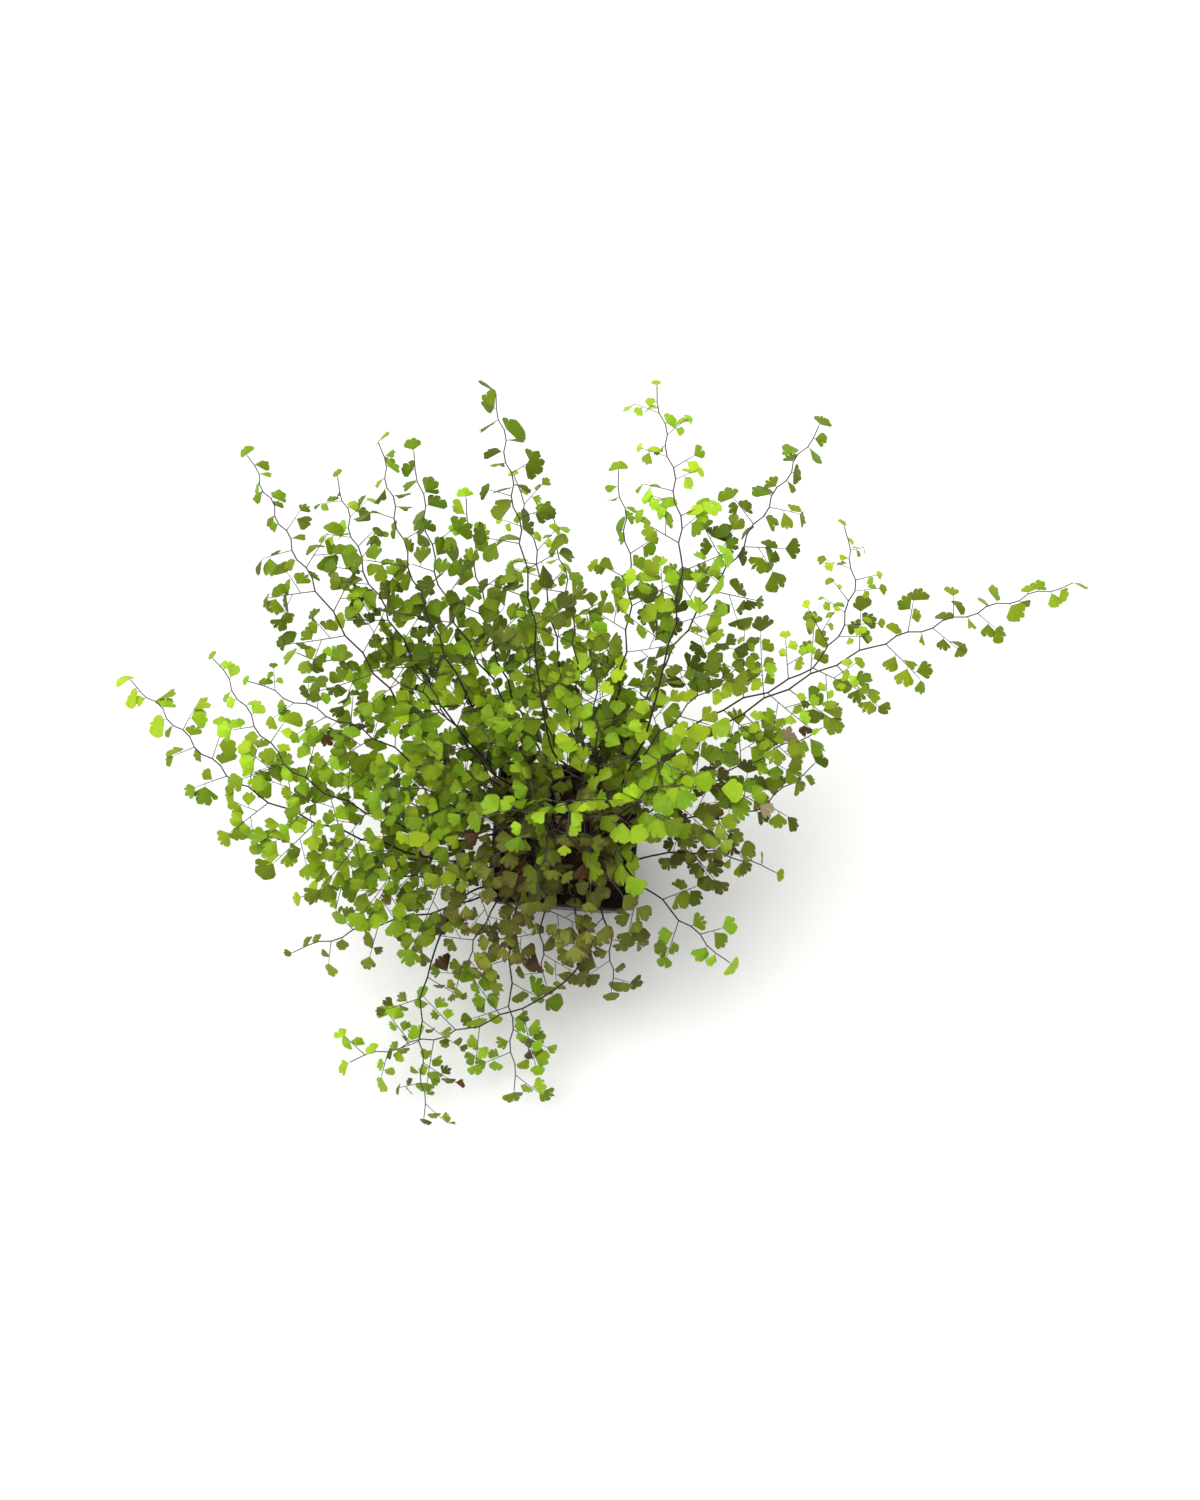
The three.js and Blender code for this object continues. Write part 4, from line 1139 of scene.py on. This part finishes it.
def pot_shell():
    """The wall as one grid round the square, the floor's two faces and the walls of its holes."""
    profile = rounded_profile(POT_PROFILE)
    half, z = profile[:, 0], profile[:, 1]
    wall = square_loops(half, pot_corner(half, z), z)
    parts = [shell(wall, grid_faces(len(wall), wall.shape[1], wrap=True)[:, ::-1])]
    below = floor_quarters(BASE_HALF - FOOT_CHAMFER, 0.0)
    above = floor_quarters(INNER_FLOOR_HALF, POT_WALL)
    for low, high in zip(below, above):
        ring = grid_faces(*low.shape[:2], wrap=True)
        hole = np.stack([low[0], high[0]])
        parts.append(shell(low, ring[:, ::-1]))
        parts.append(shell(high, ring))
        parts.append(shell(hole, grid_faces(*hole.shape[:2], wrap=True)))
    return joined(parts)


pot = piece("pot_fine", pot_shell(), [POT_FINISH], "pot", POT_SHARP_ANGLE, welded=True)
print("pot:", [round(side * 1000, 1) for side in pot.dimensions], "mm")

# %% [markdown]
# ## The finish of peat and roots
#
# Potting mix is damp peat: two browns in crumbs of a millimetre or two, quite matt, with
# lighter flecks of fibre. One noise colours the crumbs and lifts them too, so that colour and
# relief agree. Loose fibres and roots have the same finish in paler colours.

# %% Peat and roots
PEAT_DARK = linear(0x19110C)
PEAT_BROWN = linear(0x38291D)
PEAT_FIBRE = linear(0x715840)
ROOT_PALE = linear(0xA98B66)
PEAT_ROUGHNESS = 0.95
CRUMB_SIZE, CRUMB_RELIEF, FLECK_SIZE = 2.2 * MM, 0.8 * MM, 1.1 * MM


def peat_finish(name, dark, light):
    """Damp peat: two colours in crumbs of a millimetre or two, with lighter flecks of fibre."""
    material, tree, skin, _ = finish_of(name)
    where = add(tree, "TexCoord", out="Object")
    noise = {"Vector": where, "Scale": 1 / CRUMB_SIZE, "Detail": 5.0, "Roughness": 0.65}
    crumb = add(tree, "TexNoise", noise)
    fibre = add(tree, "TexNoise", {"Vector": where, "Scale": 1 / FLECK_SIZE, "Distortion": 3.0})
    browns = add(tree, "MapRange", {"Value": crumb, "From Min": 0.35, "From Max": 0.68})
    fleck = add(tree, "MapRange", {"Value": fibre, "From Min": 0.62, "From Max": 0.7})
    peat = dark
    for share, colour in ((browns, light), (fleck, PEAT_FIBRE)):
        peat = add(tree, "Mix", {SHARE: share, FROM: peat, TO: colour}, MIXED, data_type="RGBA")
    bump = add(tree, "Bump", {"Height": crumb, "Strength": 0.8, "Distance": CRUMB_RELIEF})
    feed(tree, skin, {"Base Color": peat, "Normal": bump, "Roughness": PEAT_ROUGHNESS})
    return material


PEAT_FINISH = peat_finish("damp_peat", PEAT_DARK, PEAT_BROWN)
ROOT_FINISH = peat_finish("peat_fibre_and_roots", PEAT_BROWN, ROOT_PALE)
print("peat finish:", len(PEAT_FINISH.node_tree.nodes), "nodes")

# %% [markdown]
# ## The soil
#
# The potting mix has settled a little below the rim, with an uneven top. The block is loops of
# the pot's own outline, drawn in to a point in the middle of the top and of the bottom. The
# unevenness could be a displacement texture, but then nothing could be laid on it. A sum of
# waves that run in drawn directions gives a height at any place.

# %% Soil block
SOIL_GAP = 0.3
RIM_DROP, RIM_POWER = 1.4, 8
WAVES, WAVE_HEIGHT = 14, 0.34
WAVE_LENGTHS, LENGTH_POWER, SHORTEST_SHARE = (5.0, 34.0), 1.5, 0.4
SOIL_SIDE_ROWS, SOIL_TOP_ROWS, SOIL_EDGE = 8, 26, 2.5
BOTTOM_SHARES = [0, 0.5]
SOIL_SHARP_ANGLE = math.radians(70)


def soil_half(z):
    """Half the soil's width at a height: the pot's inner half less the gap."""
    return lerp(BASE_HALF, NECK_HALF, z / LIP_BOTTOM) - POT_WALL - SOIL_GAP


def soil_height(x, y):
    """Height of the soil's top: a sum of waves with drawn lengths, directions and starts, lower
    by a fixed drop towards the pot's wall."""
    i = np.arange(WAVES)
    length = lerp(*WAVE_LENGTHS, draw(i, 1, 11) ** LENGTH_POWER)
    way = draw(i, 2, 11) * 2 * np.pi
    start = draw(i, 3, 11) * 2 * np.pi
    along = x[..., None] * np.cos(way) + y[..., None] * np.sin(way)
    waves = np.sin(2 * np.pi * along / length + start) * (SHORTEST_SHARE + length / WAVE_LENGTHS[1])
    outwards = np.maximum(np.abs(x), np.abs(y)) / soil_half(SOIL_TOP)
    return SOIL_TOP + WAVE_HEIGHT * waves.sum(axis=-1) - RIM_DROP * outwards**RIM_POWER


def soil_shell():
    """Loops from the middle of the bottom, up the side and in to the middle of the top."""
    bottom = POT_WALL + SOIL_GAP
    sides = np.linspace(bottom, SOIL_TOP - SOIL_EDGE, SOIL_SIDE_ROWS)
    top_share = np.linspace(1, 0, SOIL_TOP_ROWS)
    scale = np.concatenate([BOTTOM_SHARES, np.ones(SOIL_SIDE_ROWS), top_share])
    z = np.concatenate([[bottom, bottom], sides, np.full(SOIL_TOP_ROWS, SOIL_TOP)])
    half = soil_half(z)
    loops = square_loops(half, pot_corner(half, z), z)
    loops[..., :2] *= scale[:, None, None]
    top = loops[-SOIL_TOP_ROWS:]
    top[..., 2] = soil_height(top[..., 0], top[..., 1])
    return shell(loops, grid_faces(len(loops), loops.shape[1], wrap=True)[:, ::-1])


soil = piece("soil_fine", soil_shell(), [PEAT_FINISH], "soil", SOIL_SHARP_ANGLE, welded=True)
print("soil:", [round(side * 1000, 1) for side in soil.dimensions], "mm")

# %% [markdown]
# ## Crumbs on the soil
#
# Loose crumbs of peat break up the smooth top. Particles could scatter one modelled crumb, but
# the height rule puts drawn crumbs on the soil just as well: short rods with uneven rings, most
# of them small and a few large.

# %% Crumbs
CRUMBS, CRUMB_RANGE, CRUMB_POWER, CRUMB_SIDES = 420, (0.5, 2.3), 3, 6
CRUMB_ALONG = np.array([-0.9, -0.35, 0.35, 0.9])
CRUMB_RADII = np.array([0.5, 1.0, 0.95, 0.45])
CRUMB_ASIDE, CRUMB_UNEVEN, CRUMB_RISE = 0.25, (0.7, 1.1), 0.9
LITTER_HALF = 38.0


def spots_on_soil(count, key):
    """Drawn places on the top of the soil."""
    i = np.arange(count)
    x, y = (lerp(-LITTER_HALF, LITTER_HALF, draw(i, key, way)) for way in (21, 22))
    return np.stack([x, y, soil_height(x, y)], axis=1)


def drawn_ways(count, key, rise):
    """Drawn directions whose upward part lies within plus or minus the given rise."""
    i = np.arange(count)
    turn = draw(i, key, 23) * 2 * np.pi
    up = lerp(-rise, rise, draw(i, key, 24))
    return unit(np.stack([np.cos(turn), np.sin(turn), up], axis=1))


def square_to(ways):
    """For each direction, two more that make a right-handed set with it."""
    first = unit(np.cross(UP, ways))
    return first, np.cross(ways, first)


def crumbs():
    """Lumps of four uneven rings, each ring a little off the line of the rest."""
    i, ring = np.arange(CRUMBS), np.arange(len(CRUMB_ALONG))[None]
    size = lerp(*CRUMB_RANGE, draw(i, 1, 31) ** CRUMB_POWER)[:, None]
    ways = drawn_ways(CRUMBS, 2, CRUMB_RISE)
    first, second = square_to(ways)
    off_line = lerp(-1, 1, draw(i[:, None], ring, 32))[..., None]
    aside = size[..., None] * CRUMB_ASIDE * first[:, None] * off_line
    middle = spots_on_soil(CRUMBS, 3)[:, None] + ways[:, None] * (size * CRUMB_ALONG)[..., None]
    radii = size * CRUMB_RADII * lerp(*CRUMB_UNEVEN, draw(i[:, None], ring, 33))
    return tubes(middle + aside, first[:, None], second[:, None], radii, CRUMB_SIDES)


piece("soil_crumbs", crumbs(), [PEAT_FINISH])
print("crumbs:", CRUMBS)

# %% [markdown]
# ## Fibres, roots and stumps
#
# Short fibres of peat and a few pale roots lie on the soil, and stumps of cut stalks stand in
# it. All are thin bent rods, so one function makes them, with how far they rise and bend.

# %% Fibres, roots and stumps
FIBRES, ROOTS, STUMPS = 130, 7, 14
LITTER_REACH = 40.0
ARCH_LIFT = 0.08
LITTER_TONE = 0.3


def bent_rods(count, key, lengths, radii, rise, bend, sides=6, steps=6):
    """Rods that lie on the soil or stand in it, bent by so much times their length. One that
    would reach the pot's wall is moved inwards."""
    i = np.arange(count)
    length = lerp(*lengths, draw(i, key, 41))[:, None, None]
    ways = unit(drawn_ways(count, key, 0.0) + UP * rise)
    first, second = square_to(ways)
    t = np.linspace(0, 1, steps)[None, :, None]
    arch = 4 * t * (1 - t) * length
    path = spots_on_soil(count, key)[:, None] + ways[:, None] * t * length
    path = path + first[:, None] * arch * bend * lerp(-1, 1, draw(i, key, 42))[:, None, None]
    path = path + UP * arch * ARCH_LIFT
    over = np.clip(path[..., :2].max(axis=1) - LITTER_REACH, 0, None)
    under = np.clip(-LITTER_REACH - path[..., :2].min(axis=1), 0, None)
    path[..., :2] += (under - over)[:, None]
    radii = np.linspace(*radii, steps)
    return tubes(path, first[:, None], second[:, None], radii, sides, tone=LITTER_TONE)


fibres = bent_rods(FIBRES, 5, (3, 11), (0.22, 0.12), rise=0.12, bend=0.25, sides=4, steps=4)
roots = bent_rods(ROOTS, 6, (14, 30), (0.5, 0.3), rise=0.02, bend=0.3, steps=8)
stumps = bent_rods(STUMPS, 7, (8, 24), (0.7, 0.55), rise=3.0, bend=0.05)
piece("soil_fibres", joined([fibres, roots]), [ROOT_FINISH])
piece("cut_stalks", stumps, [STALK_FINISH])
print("fibres:", FIBRES, "roots:", ROOTS, "stumps:", STUMPS)

# %% [markdown]
# ## Fallen leaflets
#
# Old leaflets that dropped lie on the soil, more or less flat, brown and crumpled. They are
# blades like the rest, with an age past the end of life, which the blade rule and the leaflet's
# finish already know.

# %% Fallen leaflets
FALLEN = 90
FALLEN_RADII, FALLEN_AGES = (5.5, 9.5), (0.9, 1.5)
FALLEN_LIFT, FALLEN_REACH, FALLEN_MIDDLE = 1.6, 0.85, 0.6
FALLEN_RISE, FALLEN_LEAN, LEAN_RISE = 0.35, 0.5, 0.4
FALLEN_SEED = 9000.0


def fallen_leaflets():
    """Withered leaflets that lie about on the soil, more or less flat."""
    i = np.arange(FALLEN)
    radius = lerp(*FALLEN_RADII, draw(i, 11, 3))
    middle = spots_on_soil(FALLEN, 8) + UP * FALLEN_LIFT
    room = (LITTER_REACH - FALLEN_REACH * radius)[:, None]
    middle[:, :2] = np.clip(middle[:, :2], -room, room)
    axis = drawn_ways(FALLEN, 9, FALLEN_RISE)
    lean = unit(UP + FALLEN_LEAN * drawn_ways(FALLEN, 10, LEAN_RISE))
    return {
        "foot": middle - axis * radius[:, None] * FALLEN_MIDDLE,
        "axis": axis,
        "normal": unit(lean - axis * dot(lean, axis)),
        "radius": radius,
        "tone": draw(i, 12, 3),
        "tint": draw(i, 14, 3),
        "age": lerp(*FALLEN_AGES, draw(i, 13, 3)),
        "seed": FALLEN_SEED + i,
    }


piece("fallen_leaflets", blades(fallen_leaflets()), [LEAFLET_FINISH])
print("fallen leaflets:", FALLEN)

# %% [markdown]
# ## Floor and light
#
# The object is shown on a plain pale floor in soft studio light: a wide sun from the upper
# left, a large weak lamp that fills from the front right, and an even white sky.

# %% Stage
FLOOR_HALF = 4.0
FLOOR_WHITE = linear(0xFAFAF8)
CLOUDS_PER_METRE = 3.0
PLANT_MIDDLE = (0.0, 0.03, 0.15)
KEY_PLACE, KEY_STRENGTH, KEY_ANGLE = (-0.34, 0.29, 1.05), 2.7, math.radians(55)
FILL_PLACE, FILL_POWER, FILL_SIZE = (1.0, -1.2, 1.3), 6.0, 1.0
SKY_WHITE, SKY_STRENGTH = linear(0xFFFFFF), 0.5


def floor_finish():
    """Pale matt paper, a little smoother here and there."""
    material, tree, skin, _ = finish_of("pale_matt_floor")
    where = add(tree, "TexCoord", out="Object")
    cloud = add(tree, "TexNoise", {"Vector": where, "Scale": CLOUDS_PER_METRE})
    rough = add(tree, "MapRange", {"Value": cloud, "To Min": 0.85, "To Max": 0.95})
    feed(tree, skin, {"Base Color": FLOOR_WHITE, "Roughness": rough})
    return material


def lamp(name, kind, place, energy, **settings):
    """A lamp at a place in metres, turned to the middle of the plant."""
    light = bpy.data.lights.new(name, kind)
    light.energy = energy
    for key, value in settings.items():
        setattr(light, key, value)
    holder = stand(name, light)
    holder.location = place
    holder.rotation_mode = "QUATERNION"
    holder.rotation_quaternion = (Vector(PLANT_MIDDLE) - Vector(place)).to_track_quat("-Z", "Y")


corners = np.array([(-1, -1, 0), (1, -1, 0), (1, 1, 0), (-1, 1, 0)]) * FLOOR_HALF
floor_mesh = bpy.data.meshes.new("floor")
floor_mesh.from_pydata(corners.tolist(), [], [[0, 1, 2, 3]])
floor_mesh.materials.append(floor_finish())
floor = stand("floor", floor_mesh)
lamp("key", "SUN", KEY_PLACE, KEY_STRENGTH, angle=KEY_ANGLE)
lamp("fill", "AREA", FILL_PLACE, FILL_POWER, size=FILL_SIZE)
world = bpy.data.worlds.new("studio")
bpy.context.scene.world = world
world.use_nodes = True
sky = world.node_tree.nodes["Background"]
feed(world.node_tree, sky, {"Color": SKY_WHITE, "Strength": SKY_STRENGTH})

# %% [markdown]
# ## Camera
#
# The camera looks down at the plant from in front. Its place, angles and lens were fitted so
# that the pot's rim and the spread of the fronds land where they do in the photograph. A camera
# that isn't turned looks straight down, so it is tipped up by what its elevation lacks of 90
# degrees and then turned by its azimuth.

# %% Camera
CAMERA_PLACE = Vector((38.8, -216.5, 1175.6)) * MM
CAMERA_AZIMUTH, CAMERA_ELEVATION = math.radians(4.5), math.radians(76)
CAMERA_LENS, SENSOR, NEAREST = 43.2, 36.0, 0.05

camera = stand("camera", bpy.data.cameras.new("camera"))
camera.data.lens = CAMERA_LENS
camera.data.sensor_width = SENSOR
camera.data.clip_start = NEAREST
camera.location = CAMERA_PLACE
camera.rotation_euler = (math.pi / 2 - CAMERA_ELEVATION, 0.0, CAMERA_AZIMUTH)
bpy.context.scene.camera = camera
bpy.context.scene.view_settings.view_transform = "Standard"
print("camera at", [round(c, 3) for c in CAMERA_PLACE])
